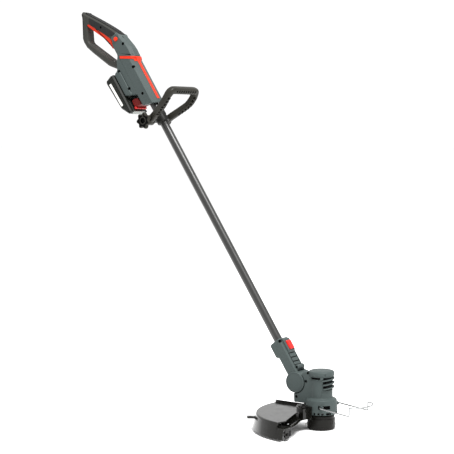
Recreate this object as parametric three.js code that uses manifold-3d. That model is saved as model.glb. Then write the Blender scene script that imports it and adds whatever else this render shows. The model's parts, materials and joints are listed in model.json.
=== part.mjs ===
// A battery string trimmer, in millimetres, +Z up, +X away from the user and +Y to the user's left.
// The spool's axis is vertical and the shaft leans back. The origin is the middle of the rear grip.
import * as THREE from 'three';
import { mergeVertices } from 'three/addons/utils/BufferGeometryUtils.js';
import Module from 'manifold-3d';

const wasm = await Module();
wasm.setup();

// ---------------------------------------------------------------- driving dimensions
const gap = 0.3; // clearance between pieces that touch
const roundSides = 24; // sides of a large round piece
const smallSides = 10; // sides of a pin, boss or screw
const bearingSides = 48; // sides of a shaft that turns in its bearing

// Shaft. Stations along it are measured up from the tilt pivot.
const shaftLean = 33 * Math.PI / 180; // from the vertical
const tubeRadius = 11;
const tubeWall = 1.2;
const tubeBare = 706; // between the coupling and the handle housing
const tubeInHousing = 66;
const tubeInCoupling = 80;
const cableRadius = 2.5;

// Coupling at the foot of the shaft
const couplingTop = 116;
const couplingShoulder = 78; // where the wide block ends and the neck begins
const couplingHalfWidth = 22;
const couplingFront = 17.5;
const couplingBack = 18;
const couplingNeckBack = 11;
const cheekRadius = 26;
const cheekOuter = 26; // half the width over the two cheeks
const tongueHalfWidth = 15; // the head's tongue between the cheeks
const hingePinRadius = 5;
const podHeight = 6; // raised pod that holds the rotation button
const podHalfWidth = 14;
const podBottom = 72;
const podTop = 112;
const buttonHalfWidth = 10.5;
const buttonProud = 3.5;
const ringWall = 3.5; // retaining ring on the tube
const ringHeight = 14;

// Head. Heights are measured from the spool's bottom face, and radii from its axis.
const pivotBack = 62.4; // tilt pivot behind the spool axis
const pivotHeight = 112.1;
const motorHousingRadius = 28;
const housingWall = 2.6;
const collarRadius = 40.5;
const collarBottom = 38;
const collarTop = 74;
const collarFloor = 49;
const capRadius = 32;
const capBottom = 133;
const capTop = 146;
const neckHalfWidth = 24;
const neckBack = 66;
const neckBottom = 62;
const motorRadius = 18.5;
const motorBottom = 63;
const motorTop = 117;
const motorShaftRadius = 2.5;

// Spool
const spoolRadius = 34.5;
const spoolCapHeight = 5;
const spoolTop = 36;
const lineRadius = 0.8;

// Guard. Its arc is centred ahead of the spool.
const guardRadius = 193.5;
const guardCentreX = 31.5;
const guardCentreY = 6.5;
const guardTop = 43;
const guardBottom = 4;
const guardWall = 2.4;
const guardFlare = 8.6;
const guardFarAngle = 170.5;
const guardNearAngle = 255.5;
const guardFlangeAngle = 262;
const guardFlangeTop = 30;
const guardNeckTop = 60;

// Wire guard
const wireRadius = 1.8;
const wireHalfWidth = 47.7;
const wirePivotX = 22;
const wirePivotZ = 58.6;
const wireReach = 105;
const wireDrop = 10.6;
const wireUpturn = 21;
const wireNose = 31;

// Rear handle. Heights are measured up the shaft from the housing's lower end.
const bodyFront = 20;
const bodyHalfWidth = 27;
const bodyTop = 138;
const railFace = -51;
const footBottom = 62;
const footTop = 130;
const footHalfWidth = 30;
const heelBack = -18;
const noseHalfWidth = 21;
const loopHalfWidth = 16;
const overmouldThickness = 2.2;
const shellWall = 2.8;
const bandProud = 0.8;
const stripeHalfWidth = 7.5;
const triggerHalfWidth = 8;
const triggerTravel = 3.5 * Math.PI / 180;
const screwShankRadius = 1.7;
const screwHeadRadius = 3;
const screwHeadHeight = 2.4;
const screwRecess = 6;
const bossRadius = 4.6;

// Battery
const batteryHalfWidth = 37;
const batteryDepth = 31;
const batteryBottom = 15;
const batteryTop = 133;
const cellRadius = 9;
const cellLength = 65;
const tongueWide = 25;
const tongueNarrow = 19;
const tongueHeight = 11;
const lipHeight = 4;

// Assist handle, on a collar below the housing
const assistDrop = 36; // from the housing's lower end down to the clamp bolt
const assistBoltBack = tubeRadius + 4.5;
const assistReach = 99;
const assistRise = 19;
const assistRootHalf = 38;
const assistTopHalf = 61;
const assistElbow = { reach: 60, half: 57, rise: 3 }; // where each arm bows outward and down
const assistSection = 21;
const assistBend = 12;
const clampRadius = 16.5;
const clampHeight = 30;
const boltRadius = 3;
const knobRadius = 19.5;
const knobLobe = 2;
const knobLobes = 7;
const knobThickness = 15;

// ---------------------------------------------------------------- geometry helpers
function solid(geometry) {
  const bare = geometry.clone();
  bare.deleteAttribute('normal');
  bare.deleteAttribute('uv');
  const merged = mergeVertices(bare, 1e-4);
  const index = merged.index.array;
  const faces = [];
  for (let i = 0; i < index.length; i += 3) {
    const [a, b, c] = [index[i], index[i + 1], index[i + 2]];
    if (a !== b && b !== c && c !== a) faces.push(a, b, c);
  }
  const mesh = new wasm.Mesh({
    numProp: 3,
    vertProperties: new Float32Array(merged.attributes.position.array),
    triVerts: new Uint32Array(faces),
  });
  return new wasm.Manifold(mesh);
}

function surface(manifold) {
  const mesh = manifold.getMesh();
  const geometry = new THREE.BufferGeometry();
  geometry.setAttribute('position', new THREE.BufferAttribute(mesh.vertProperties, 3));
  geometry.setIndex(new THREE.BufferAttribute(mesh.triVerts, 1));
  geometry.computeVertexNormals();
  return geometry;
}

function join(...solids) {
  return solids.reduce((whole, next) => whole.add(next));
}

function cut(whole, ...tools) {
  return tools.reduce((rest, tool) => rest.subtract(tool), whole);
}

// A box from its low corner to its high corner.
function box(low, high) {
  const size = high.map((value, axis) => value - low[axis]);
  const geometry = new THREE.BoxGeometry(...size);
  geometry.translate(...low.map((value, axis) => value + size[axis] / 2));
  return solid(geometry);
}

// A straight round bar along +Z, from one height to another.
function rodGeometry(radius, from, to, sides = smallSides) {
  const geometry = new THREE.CylinderGeometry(radius, radius, to - from, sides);
  geometry.rotateX(Math.PI / 2);
  geometry.translate(0, 0, (from + to) / 2);
  return geometry;
}

function rodZ(radius, from, to, x = 0, y = 0, sides = smallSides) {
  const geometry = rodGeometry(radius, from, to, sides);
  geometry.translate(x, y, 0);
  return solid(geometry);
}

// A bar along Y, at the place (x, z).
function rodY(radius, from, to, x = 0, z = 0, sides = smallSides) {
  const geometry = rodGeometry(radius, -to, -from, sides);
  geometry.rotateX(Math.PI / 2);
  geometry.translate(x, 0, z);
  return solid(geometry);
}

function shapeOf(points, holes = []) {
  const shape = new THREE.Shape(points.map(([x, y]) => new THREE.Vector2(x, y)));
  shape.holes = holes.map((hole) => new THREE.Path(hole.map(([x, y]) => new THREE.Vector2(x, y))));
  return shape;
}

// An outline in the X-Z plane, given thickness along Y; the chamfer runs round both faces.
function plateY(points, half, { holes = [], chamfer = 0, chamferDepth = chamfer, from = -half } = {}) {
  const geometry = new THREE.ExtrudeGeometry(shapeOf(points, holes), {
    depth: half - from - 2 * chamferDepth,
    bevelEnabled: chamfer > 0,
    bevelThickness: chamferDepth,
    bevelSize: chamfer,
    bevelOffset: -chamfer,
    bevelSegments: 1,
    curveSegments: 8,
  });
  geometry.rotateX(Math.PI / 2);
  geometry.translate(0, half - chamferDepth, 0);
  return solid(geometry);
}

// An outline in the X-Y plane, raised from one height to another.
function plateZ(points, from, to, holes = []) {
  const options = { depth: to - from, bevelEnabled: false };
  const geometry = new THREE.ExtrudeGeometry(shapeOf(points, holes), options);
  geometry.translate(0, 0, from);
  return solid(geometry);
}

function turned(profile, sides = roundSides) {
  const points = profile.map(([radius, height]) => new THREE.Vector2(radius, height));
  const geometry = new THREE.LatheGeometry(points, sides);
  geometry.rotateX(Math.PI / 2);
  return solid(geometry);
}

function signedArea(points) {
  return points.reduce((sum, [x, y], i) => {
    const [nextX, nextY] = points[(i + 1) % points.length];
    return sum + x * nextY - nextX * y;
  }, 0) / 2;
}

// Moves every side of an outline inward by a distance, or outward if it is negative.
function inset(points, distance) {
  const turn = Math.sign(signedArea(points));
  const count = points.length;
  return points.map(([x, y], i) => {
    const [px, py] = points[(i + count - 1) % count];
    const [nx, ny] = points[(i + 1) % count];
    const before = new THREE.Vector2(x - px, y - py).normalize();
    const after = new THREE.Vector2(nx - x, ny - y).normalize();
    const normal = new THREE.Vector2(-before.y - after.y, before.x + after.x).multiplyScalar(turn);
    const spread = 1 + before.dot(after);
    return [x + normal.x * distance / spread, y + normal.y * distance / spread];
  });
}

// Points along a quadratic curve, without its first point.
function curveTo(start, control, end, count) {
  const curve = new THREE.QuadraticBezierCurve(
    new THREE.Vector2(...start), new THREE.Vector2(...control), new THREE.Vector2(...end));
  return curve.getPoints(count).slice(1).map((point) => [point.x, point.y]);
}

function arc(centreX, centreY, radius, fromDegrees, toDegrees, count) {
  return Array.from({ length: count + 1 }, (_, i) => {
    const angle = (fromDegrees + (toDegrees - fromDegrees) * i / count) * Math.PI / 180;
    return [centreX + radius * Math.cos(angle), centreY + radius * Math.sin(angle)];
  });
}

function turnedAbout([x, z], points, angle) {
  return points.map(([px, pz]) => [
    x + (px - x) * Math.cos(angle) - (pz - z) * Math.sin(angle),
    z + (px - x) * Math.sin(angle) + (pz - z) * Math.cos(angle),
  ]);
}

// A path through points, with every inner corner rounded.
function roundedPath(points, radius) {
  const path = new THREE.CurvePath();
  let from = points[0];
  for (let i = 1; i < points.length - 1; i += 1) {
    const corner = points[i];
    const before = corner.clone().add(from.clone().sub(corner).setLength(radius));
    const after = corner.clone().add(points[i + 1].clone().sub(corner).setLength(radius));
    path.add(new THREE.LineCurve3(from, before));
    path.add(new THREE.QuadraticBezierCurve3(before, corner, after));
    from = after;
  }
  path.add(new THREE.LineCurve3(from, points[points.length - 1]));
  return path;
}

// A bar of round section along a path.
function bar(path, radius, sides, steps) {
  const section = shapeOf(Array.from({ length: sides }, (_, i) => {
    const angle = (i + 0.5) * 2 * Math.PI / sides;
    return [radius * Math.cos(angle), radius * Math.sin(angle)];
  }));
  return solid(new THREE.ExtrudeGeometry(section, { extrudePath: path, steps, bevelEnabled: false }));
}

function mirrored(points) {
  return [...points].reverse().map((point) => new THREE.Vector3(point.x, -point.y, point.z));
}

// Keeps the half of a solid on one side of Y = 0, with the clearance between the halves.
function halfOf(whole, side) {
  const far = 400;
  const low = side < 0 ? -far : gap / 2;
  const high = side < 0 ? -gap / 2 : far;
  return whole.intersect(box([-far, low, -far], [far, high, 2 * far]));
}

function material(colour, roughness, metalness = 0) {
  return { color: colour, roughness, metalness };
}

const looks = {
  housing: material(0x50575a, 0.5),
  softGrip: material(0x202223, 0.85),
  orange: material(0xe2492a, 0.4),
  red: material(0xd8322a, 0.35),
  black: material(0x1b1b1a, 0.5),
  guard: material(0x22221f, 0.25),
  tube: material(0x2b2b29, 0.35, 0.3),
  steel: material(0xc9cbcc, 0.25, 1),
  darkSteel: material(0x4a4c4e, 0.4, 1),
  copper: material(0xb87333, 0.4, 1),
  board: material(0x1d5b34, 0.5),
  cell: material(0x3d74a8, 0.5),
  label: material(0xe6e6e2, 0.6),
  line: material(0xb9b6ad, 0.45),
};

function named(name, manifold, look) {
  const mesh = new THREE.Mesh(surface(manifold), new THREE.MeshStandardMaterial(look));
  mesh.name = name;
  return mesh;
}

// A countersunk hole for a screw that enters from the -Y side, and the boss round it.
function screwBoss(x, z, half) {
  return rodY(bossRadius, -half, half, x, z);
}

function screwHole(x, z, half, depth = screwRecess) {
  const headBottom = -half + depth;
  return join(
    rodY(screwHeadRadius + gap, -half - 20, headBottom + gap, x, z),
    rodY(screwShankRadius + gap, -half, half - shellWall - gap, x, z));
}

function screw(name, x, z, half, depth = screwRecess) {
  const headBottom = -half + depth;
  const head = rodY(screwHeadRadius, headBottom - screwHeadHeight, headBottom, x, z);
  const shank = rodY(screwShankRadius, headBottom - gap, half - shellWall - 2 * gap, x, z, 10);
  const drive = rodY(screwHeadRadius * 0.45, headBottom - screwHeadHeight - 1, headBottom - 1, x, z, 6);
  return named(name, cut(join(head, shank), drive), looks.darkSteel);
}

// ---------------------------------------------------------------- rear handle
// Outlines in the plane of the shaft: X forward of the tube's axis, Z up the shaft.
const foreEnd = [25, bodyTop + 6];
const noseTip = [27, bodyTop + 29];
const rearCorner = [-52, bodyTop + 197];
const gripCrown = [8, bodyTop + 117];
const outerCurve = curveTo(rearCorner, gripCrown, noseTip, 10);
const fingerHole = [
  [-24, bodyTop + 30], [-24, bodyTop + 66], [-17, bodyTop + 83], [-29, bodyTop + 109], [-61, bodyTop + 167],
  [-66, bodyTop + 160], [-83, bodyTop + 128], [-82, bodyTop + 119], [-49, bodyTop + 48], [-41, bodyTop + 34],
];
const loopOutline = [
  rearCorner, ...outerCurve, foreEnd, [-6, bodyTop + 14], [-6, bodyTop - 20], [-36, bodyTop - 20],
  [-38, bodyTop + 1], [-47, bodyTop + 13], [-63, bodyTop + 33], [-90, bodyTop + 94], [-99, bodyTop + 118],
  [-100, bodyTop + 136], [-98, bodyTop + 146], [-70, bodyTop + 192], [-66, bodyTop + 205],
  [-56, bodyTop + 207],
];
const bodyOutline = [
  [bodyFront, 0], [bodyFront, bodyTop], [-12, bodyTop + 23], [-26, bodyTop + 24], [-38, bodyTop + 2],
  [railFace + 6, footTop + 6], [railFace, footTop], [railFace, footBottom + 4], [railFace + 6, footBottom],
  [heelBack, footBottom - 14], [heelBack, 14],
];
const noseOutline = [
  foreEnd, noseTip, [25.5, bodyTop + 43], [18, bodyTop + 76], [9, bodyTop + 90], [-9, bodyTop + 90],
  [-17, bodyTop + 83], [-24, bodyTop + 66], [-24, bodyTop + 34], [-12, bodyTop + 33],
];
const chinOutline = [[bodyFront - 6, bodyTop - 26], foreEnd, [bodyFront - 6, bodyTop + 15]];
const chinHalfWidth = 17;
const gripRegion = [
  [rearCorner[0] - 1, rearCorner[1] - 3], [rearCorner[0] + 30, rearCorner[1] + 20], [60, bodyTop + 116],
  [44, bodyTop + 44], [31, bodyTop + 44], [23, bodyTop + 78], [10, bodyTop + 92.5], [-10, bodyTop + 92.5],
  [-20, bodyTop + 100], [-54, bodyTop + 164], [-60, bodyTop + 180],
];
const seamRegion = [
  [-12, bodyTop + 23], [bodyFront - 1.7, bodyTop + 1], [bodyFront - 1.7, bodyTop - 16],
  [60, bodyTop - 40], [60, bodyTop - 16], [-12, bodyTop + 33],
];
const stripeRegion = [
  [bodyFront - 2, 12], [bodyFront + 10, 12], [bodyFront + 10, bodyTop - 8], [bodyFront - 2, bodyTop - 8],
];
const seamOutline = [
  [-25, bodyTop + 18], [-12, bodyTop + 18], [bodyFront - 1, bodyTop - 5], foreEnd,
  [-12, bodyTop + 37], [-25, bodyTop + 37],
];
const seamHalfWidth = noseHalfWidth + 1;
const screwPlaces = [
  ['grip_screw', -27, bodyTop + 133, loopHalfWidth, 4.5],
  ['nose_screw', 14, bodyTop + 51, noseHalfWidth, screwRecess],
  ['upper_body_screw', 12, bodyTop - 22, bodyHalfWidth, screwRecess],
  ['rear_body_screw', -33, bodyTop - 6, bodyHalfWidth, screwRecess],
  ['foot_screw', -29, 75, bodyHalfWidth, screwRecess],
  ['tube_screw', 0, 40, bodyHalfWidth, screwRecess],
];
const triggerPivot = [-57, bodyTop + 176];
const triggerPinRadius = 1.5;
const triggerOutline = [
  [-53, bodyTop + 177], [-59, bodyTop + 180], [-62, bodyTop + 175], [-67, bodyTop + 166],
  [-40, bodyTop + 116], [-30, bodyTop + 96], [-28, bodyTop + 78], [-28, bodyTop + 64],
  [-23, bodyTop + 64], [-19, bodyTop + 78],
  [-16, bodyTop + 92], [-22, bodyTop + 106],
];
const lockPlace = [1, bodyTop + 75];
const lockRadius = 6;
const lockProud = 3.5;
const railInner = railFace + tongueHeight + gap;
const channelTop = footTop - 6;

function housingEnvelope(grow) {
  return join(
    plateY(inset(bodyOutline, -grow), bodyHalfWidth + grow, { chamfer: 4, chamferDepth: 9 }),
    plateY(inset(noseOutline, -grow), noseHalfWidth + grow, { chamfer: 4 }),
    plateY(inset(seamOutline, -grow), seamHalfWidth + grow, { chamfer: 3 }),
    plateY(inset(chinOutline, -grow), chinHalfWidth + grow));
}

function bandRegion(grow) {
  return join(
    plateY(inset(seamRegion, -grow), 60),
    plateY(inset(stripeRegion, -grow), stripeHalfWidth + grow));
}

function triggerSweep() {
  const wide = inset(triggerOutline, -gap - 0.2);
  const positions = 8;
  const steps = Array.from({ length: positions + 1 }, (_, i) => plateY(
    turnedAbout(triggerPivot, wide, triggerTravel * i / positions), triggerHalfWidth + gap));
  return join(...steps);
}

// The soft grip wraps the outside of the loop between the rear cap and the nose.
function gripSkin(outerGrow, innerShrink, halfOut, halfIn) {
  const outer = plateY(inset(loopOutline, -outerGrow), halfOut, { chamfer: 5 });
  const inner = plateY(inset(loopOutline, innerShrink), halfIn, { chamfer: 4 });
  return cut(outer, inner).intersect(plateY(gripRegion, 60));
}

// The room inside a chamfered plate: full size in the middle, and stepped in beside the chamfers.
function plateRoom(outline, half, chamfer, chamferDepth) {
  return join(
    plateY(inset(outline, shellWall), half - Math.max(chamferDepth, shellWall)),
    plateY(inset(outline, shellWall + chamfer * 0.8), half - shellWall));
}

function housingCavity() {
  const loop = cut(
    plateY(inset(loopOutline, shellWall + 2.6), loopHalfWidth - shellWall - 2.6),
    plateY(inset(fingerHole, -shellWall), 60));
  const body = cut(
    plateRoom(bodyOutline, bodyHalfWidth, 4, 9),
    box([-200, -60, -10], [railInner + shellWall, 60, footTop + 4]));
  const passage = plateY([
    [-20, bodyTop + 8], [14, bodyTop - 10], [16, bodyTop + 24], [-18, bodyTop + 46],
  ], noseHalfWidth - 6);
  return join(loop, body, passage, plateRoom(noseOutline, noseHalfWidth, 4, 4));
}

// The T-shaped channel that the battery's tongue slides up.
function batteryChannel() {
  return join(
    box([railFace - 20, -tongueNarrow - gap, -10], [railInner, tongueNarrow + gap, channelTop]),
    box([railFace + lipHeight - gap, -tongueWide - gap, -10], [railInner, tongueWide + gap, channelTop]));
}

function housingShell(side) {
  const foot = plateY([
    [railFace, footBottom + 4], [railFace + 6, footBottom], [railFace + 22, footBottom - 9],
    [railFace + 22, footTop], [railFace + 6, footTop + 6], [railFace, footTop],
  ], footHalfWidth, { chamfer: 2.5 });
  const whole = join(
    plateY(loopOutline, loopHalfWidth, { chamfer: 5 }), housingEnvelope(0), foot);
  const bulkheads = join(...[[20, 24], [tubeInHousing - 12, tubeInHousing - 7]].map(([from, to]) => box(
    [-17, -bodyHalfWidth + 2, from], [bodyFront - 2, bodyHalfWidth - 2, to])));
  const bosses = screwPlaces.map(([, x, z]) => screwBoss(x, z, 60));
  const inside = join(bulkheads, ...bosses).intersect(whole);
  const hollow = join(cut(whole, housingCavity()), inside);
  const holes = screwPlaces.map(([, x, z, half, depth]) => screwHole(x, z, half, depth));
  const lockHole = rodY(lockRadius + gap, -60, 60, lockPlace[0], lockPlace[1], smallSides);
  const shell = cut(hollow, ...holes, plateY(fingerHole, 60), triggerSweep(), lockHole, batteryChannel(),
    rodZ(tubeRadius + gap, -5, tubeInHousing + gap, 0, 0, roundSides),
    rodY(triggerPinRadius + gap, -11, 11, ...triggerPivot),
    cut(bandRegion(gap), housingEnvelope(-1.4 - gap)),
    gripSkin(10, overmouldThickness + gap, 40, loopHalfWidth - overmouldThickness - gap));
  return halfOf(shell, side);
}

function makeHandle() {
  const group = new THREE.Group();
  group.add(named('handle_shell_right', housingShell(-1), looks.housing));
  group.add(named('handle_shell_left', housingShell(1), looks.housing));
  const band = cut(bandRegion(0).intersect(housingEnvelope(bandProud)), housingEnvelope(-1.4));
  group.add(named('trim_band', band, looks.orange));
  const lockHole = rodY(bossRadius + gap, -60, 60, screwPlaces[0][1], screwPlaces[0][2]);
  const skin = gripSkin(0, overmouldThickness, loopHalfWidth + 0.6, loopHalfWidth - overmouldThickness);
  group.add(named('grip_overmould', cut(skin, lockHole, housingEnvelope(gap)), looks.softGrip));
  screwPlaces.forEach(([name, x, z, half, depth]) => group.add(screw(name, x, z, half, depth)));
  group.add(named('trigger_pin', rodY(triggerPinRadius, -10.4, 10.4, ...triggerPivot), looks.steel));
  const trigger = cut(
    plateY(triggerOutline, triggerHalfWidth, { chamfer: 1.5 }),
    rodY(triggerPinRadius + 0.08, -20, 20, ...triggerPivot));
  group.add(named('trigger', trigger, looks.orange));
  const lockEnd = noseHalfWidth + lockProud;
  const lockBar = rodY(lockRadius, -lockEnd, lockEnd, lockPlace[0], lockPlace[1], smallSides);
  group.add(named('lock_off_button', lockBar, looks.orange));
  const switchBox = box([-14, -9, bodyTop + 38], [8, 9, bodyTop + 60]);
  const plunger = box([-14 - 3, -3, bodyTop + 52], [-13, 3, bodyTop + 57]);
  group.add(named('trigger_switch', join(switchBox, plunger), looks.black));
  const board = box([-24, 6, 86], [6, 7.6, bodyTop - 16]);
  const heatSink = box([-18, 7, 90], [0, 15, bodyTop - 22]);
  group.add(named('control_board', join(board, heatSink), looks.board));
  const blades = [-1, 1].map((side) => box(
    [railFace + 6.2, side * 9 - 3, channelTop - 22], [railFace + 7, side * 9 + 3, channelTop - 3]));
  const block = box(
    [railFace + lipHeight + gap, -17, channelTop - 10], [railInner - gap, 17, channelTop - gap]);
  group.add(named('terminal_block', join(block, ...blades), looks.copper));
  return group;
}

// ---------------------------------------------------------------- battery
const tongueTop = channelTop - 12;
const batteryFace = railFace - gap;
const caseOutline = [
  [batteryFace, batteryBottom - 5], [batteryFace, batteryTop], [batteryFace - 9, batteryTop + 2],
  [batteryFace - batteryDepth + 3, batteryTop - 3], [batteryFace - batteryDepth, batteryTop - 8],
  [batteryFace - batteryDepth + 6, batteryBottom + 27], [batteryFace - 10, batteryBottom + 1],
];
const endOutline = [
  [batteryFace - 9, batteryBottom], [batteryFace + 7, batteryBottom - 5], [heelBack - 4, batteryBottom - 0.5],
  [heelBack - 4, batteryBottom + 2], [heelBack - 24, batteryBottom + 2], [heelBack - 24, batteryBottom + 35],
  [batteryFace, batteryBottom + 40], [batteryFace - 9, batteryBottom + 40],
];
const latchOutline = [
  [heelBack - 20.5, batteryBottom + 2 + gap], [heelBack - 3.6, batteryBottom + 2 + gap],
  [heelBack - 3.6, batteryBottom + 20], [heelBack - 16, batteryBottom + 30],
  [heelBack - 20.5, batteryBottom + 32],
];

function makeBattery() {
  const group = new THREE.Group();
  const outer = join(
    plateY(caseOutline, batteryHalfWidth, { chamfer: 4 }),
    plateY(endOutline, tongueWide - 1, { chamfer: 1 }));
  const cellCentre = batteryFace - cellRadius - 3.5;
  const firstCell = batteryBottom + 30;
  const cellPitch = 2 * cellRadius + 0.4;
  const cellHeights = Array.from({ length: 5 }, (_, i) => firstCell + cellPitch * i);
  const aroundCells = box(
    [cellCentre - cellRadius - 1, -cellLength / 2 - 1, firstCell - cellRadius - 1],
    [batteryFace + 20, cellLength / 2 + 1, cellHeights[4] + cellRadius + 1]);
  const room = aroundCells.intersect(plateY(inset(caseOutline, 1.6), cellLength / 2 + 1));
  const seamHeight = batteryBottom + 41;
  const deckThickness = 2.5;
  const upper = box(
    [batteryFace - deckThickness + gap, -80, seamHeight], [batteryFace + 60, 80, batteryTop + 20]);
  group.add(named('battery_case', cut(outer, room, upper), looks.black));
  const tongue = join(
    box([batteryFace - 1, -tongueNarrow + gap, seamHeight + gap],
      [railFace + lipHeight, tongueNarrow - gap, tongueTop]),
    box([railFace + lipHeight, -tongueWide + gap, seamHeight + gap],
      [railFace + tongueHeight - gap, tongueWide - gap, tongueTop]));
  const deckSlab = box([batteryFace - deckThickness + 2 * gap, -80, seamHeight + gap],
    [batteryFace, 80, batteryTop + 20]);
  const deck = plateY(caseOutline, batteryHalfWidth, { chamfer: 4 }).intersect(deckSlab);
  const slots = [-1, 1].map((side) => box(
    [railFace + 5, side * 9 - 4, tongueTop - 15], [railFace + 8.2, side * 9 + 4, tongueTop + 5]));
  group.add(named('battery_cover', cut(join(deck, tongue), ...slots), looks.black));
  const cells = cellHeights.map((height) => rodY(
    cellRadius, -cellLength / 2, cellLength / 2, cellCentre, height, 12));
  const frameHalf = cellLength / 2 - 4;
  const frame = box([cellCentre - 1, -frameHalf, firstCell], [cellCentre + 1, frameHalf, cellHeights[4]]);
  group.add(named('cell_pack', join(frame, ...cells), looks.cell));
  group.add(named('battery_latch', plateY(latchOutline, tongueWide - 1, { chamfer: 1 }), looks.red));
  return group;
}

// ---------------------------------------------------------------- assist handle
function makeAssistHandle() {
  const group = new THREE.Group();
  const boltX = -assistBoltBack;
  const earRadius = 5.8;
  const earHalf = 24;
  const eyeOuter = assistRootHalf + assistSection / 2;
  const nutFloor = eyeOuter - 5;
  const collar = join(
    rodZ(clampRadius, -clampHeight / 2, clampHeight / 2, 0, 0, roundSides),
    rodY(earRadius, -earHalf, earHalf, boltX, 0));
  const ears = box([boltX, -earHalf, -earRadius], [0, earHalf, earRadius]);
  const clamp = cut(join(collar, ears),
    rodZ(tubeRadius + gap, -60, 60, 0, 0, roundSides),
    rodY(boltRadius + gap, -60, 60, boltX, 0),
    box([-60, -1, -60], [0, 1, 60]));
  group.add(named('handle_clamp', clamp, looks.black));

  const side = [
    new THREE.Vector3(boltX, assistRootHalf, 0),
    new THREE.Vector3(8, assistRootHalf + 1, 0),
    new THREE.Vector3(assistElbow.reach, assistElbow.half, assistElbow.rise),
    new THREE.Vector3(assistReach, assistTopHalf, assistRise),
  ];
  const path = roundedPath([...side, ...mirrored(side)], assistBend);
  const tubeShape = bar(path, assistSection / 2, 8, 40);
  const eyeInner = earHalf + gap;
  const eyes = [rodY(12, -eyeOuter, -eyeInner, boltX, 0, 24), rodY(12, eyeInner, eyeOuter, boltX, 0, 24)];
  const loop = cut(join(tubeShape, ...eyes),
    rodY(boltRadius + gap, -80, 80, boltX, 0),
    rodY(6.6, nutFloor, 80, boltX, 0, 6),
    box([-80, -earHalf - gap, -80], [clampRadius + 1, earHalf + gap, 80]));
  group.add(named('assist_handle', loop, looks.black));

  const knobIn = -eyeOuter - 2 * gap;
  const lobes = Array.from({ length: knobLobes * 4 }, (_, i) => {
    const angle = i * 2 * Math.PI / (knobLobes * 4);
    const radius = knobRadius + knobLobe * Math.cos(knobLobes * angle) - knobLobe / 2;
    return [boltX + radius * Math.cos(angle), radius * Math.sin(angle)];
  });
  const knob = cut(
    plateY(lobes, knobIn, { from: knobIn - knobThickness, chamfer: 1.5 }),
    rodY(6.5, knobIn - knobThickness - 5, knobIn - knobThickness + 7, boltX, 0, 20),
    rodY(boltRadius + gap, -100, 0, boltX, 0));
  group.add(named('clamp_knob', knob, looks.black));
  const knobFloor = knobIn - knobThickness + 7;
  const bolt = join(
    rodY(boltRadius, knobFloor - 1, eyeOuter - 2, boltX, 0, 12),
    rodY(5.4, knobFloor - 4, knobFloor - gap, boltX, 0, 6));
  group.add(named('clamp_bolt', bolt, looks.steel));
  const nut = cut(rodY(6.2, nutFloor + gap, eyeOuter, boltX, 0, 6), rodY(boltRadius + gap, 0, 80, boltX, 0));
  group.add(named('clamp_nut', nut, looks.steel));
  return group;
}

// ---------------------------------------------------------------- coupling
const ringBottom = 84;
const cableOffset = tubeRadius - tubeWall - cableRadius - 2 * gap;
const couplingOutline = [
  [couplingFront - 4, couplingTop], [couplingFront, couplingTop - 5], [couplingFront, 10], [0, -8],
  [-couplingNeckBack, 10], [-couplingNeckBack, couplingShoulder - 6], [-couplingBack, couplingShoulder],
  [-couplingBack, couplingTop - 7], [-couplingBack + 4, couplingTop - 3],
];
const slotRadius = cheekRadius + 3.4;
const podFront = couplingFront + podHeight;
const lowerBoss = [couplingFront + 2, 31];
const lowerBossHalfWidth = 15;
const couplingScrews = [
  ['coupling_screw_upper', 15, couplingTop - 8, couplingHalfWidth, 5],
  ['coupling_screw_lower', ...lowerBoss, lowerBossHalfWidth, 4],
];

function couplingShell(side) {
  const outside = join(
    plateY(couplingOutline, couplingHalfWidth, { chamfer: 2 }),
    plateY([[0, podBottom], [podFront, podBottom + 6], [podFront, podTop - 6], [podFront - 6, podTop],
      [0, podTop]], podHalfWidth, { chamfer: 2 }),
    rodY(cheekRadius, -cheekOuter, cheekOuter, 0, 0, 40),
    rodY(6, -lowerBossHalfWidth, lowerBossHalfWidth, ...lowerBoss));
  const buttonRoom = box([tubeRadius + ringWall + 2 * gap, -buttonHalfWidth - gap, podBottom + 7 - gap],
    [80, buttonHalfWidth + gap, podTop - 9 + gap]);
  const ringRoom = rodZ(
    tubeRadius + ringWall + 2 * gap, ringBottom - gap, ringBottom + ringHeight + gap, 0, 0, roundSides);
  const shell = cut(outside,
    rodZ(tubeRadius + gap, couplingTop - tubeInCoupling - gap, 200, 0, 0, roundSides),
    rodZ(cableOffset + cableRadius + 1, slotRadius - 1, 60, 0, 0, roundSides),
    ringRoom, buttonRoom,
    rodY(slotRadius, -tongueHalfWidth - gap, tongueHalfWidth + gap, 0, 0, 40),
    box([-60, -tongueHalfWidth - gap, -60], [60, tongueHalfWidth + gap, 0]),
    rodY(hingePinRadius + gap, -22, 22, 0, 0),
    ...couplingScrews.map(([, x, z, half, depth]) => screwHole(x, z, half, depth)));
  return halfOf(shell, side);
}

function makeCoupling() {
  const group = new THREE.Group();
  group.add(named('coupling_shell_right', couplingShell(-1), looks.housing));
  group.add(named('coupling_shell_left', couplingShell(1), looks.housing));
  const button = plateY([
    [tubeRadius + ringWall + 4.5, podBottom + 7], [podFront + buttonProud, podBottom + 7],
    [podFront + buttonProud, podTop - 9], [tubeRadius + ringWall + 4.5, podTop - 9],
  ], buttonHalfWidth, { chamfer: 1 });
  group.add(named('rotation_button', button, looks.red));
  group.add(named('hinge_pin', rodY(hingePinRadius, -21.5, 21.5), looks.steel));
  couplingScrews.forEach(([name, x, z, half, depth]) => group.add(screw(name, x, z, half, depth)));
  return group;
}

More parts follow.
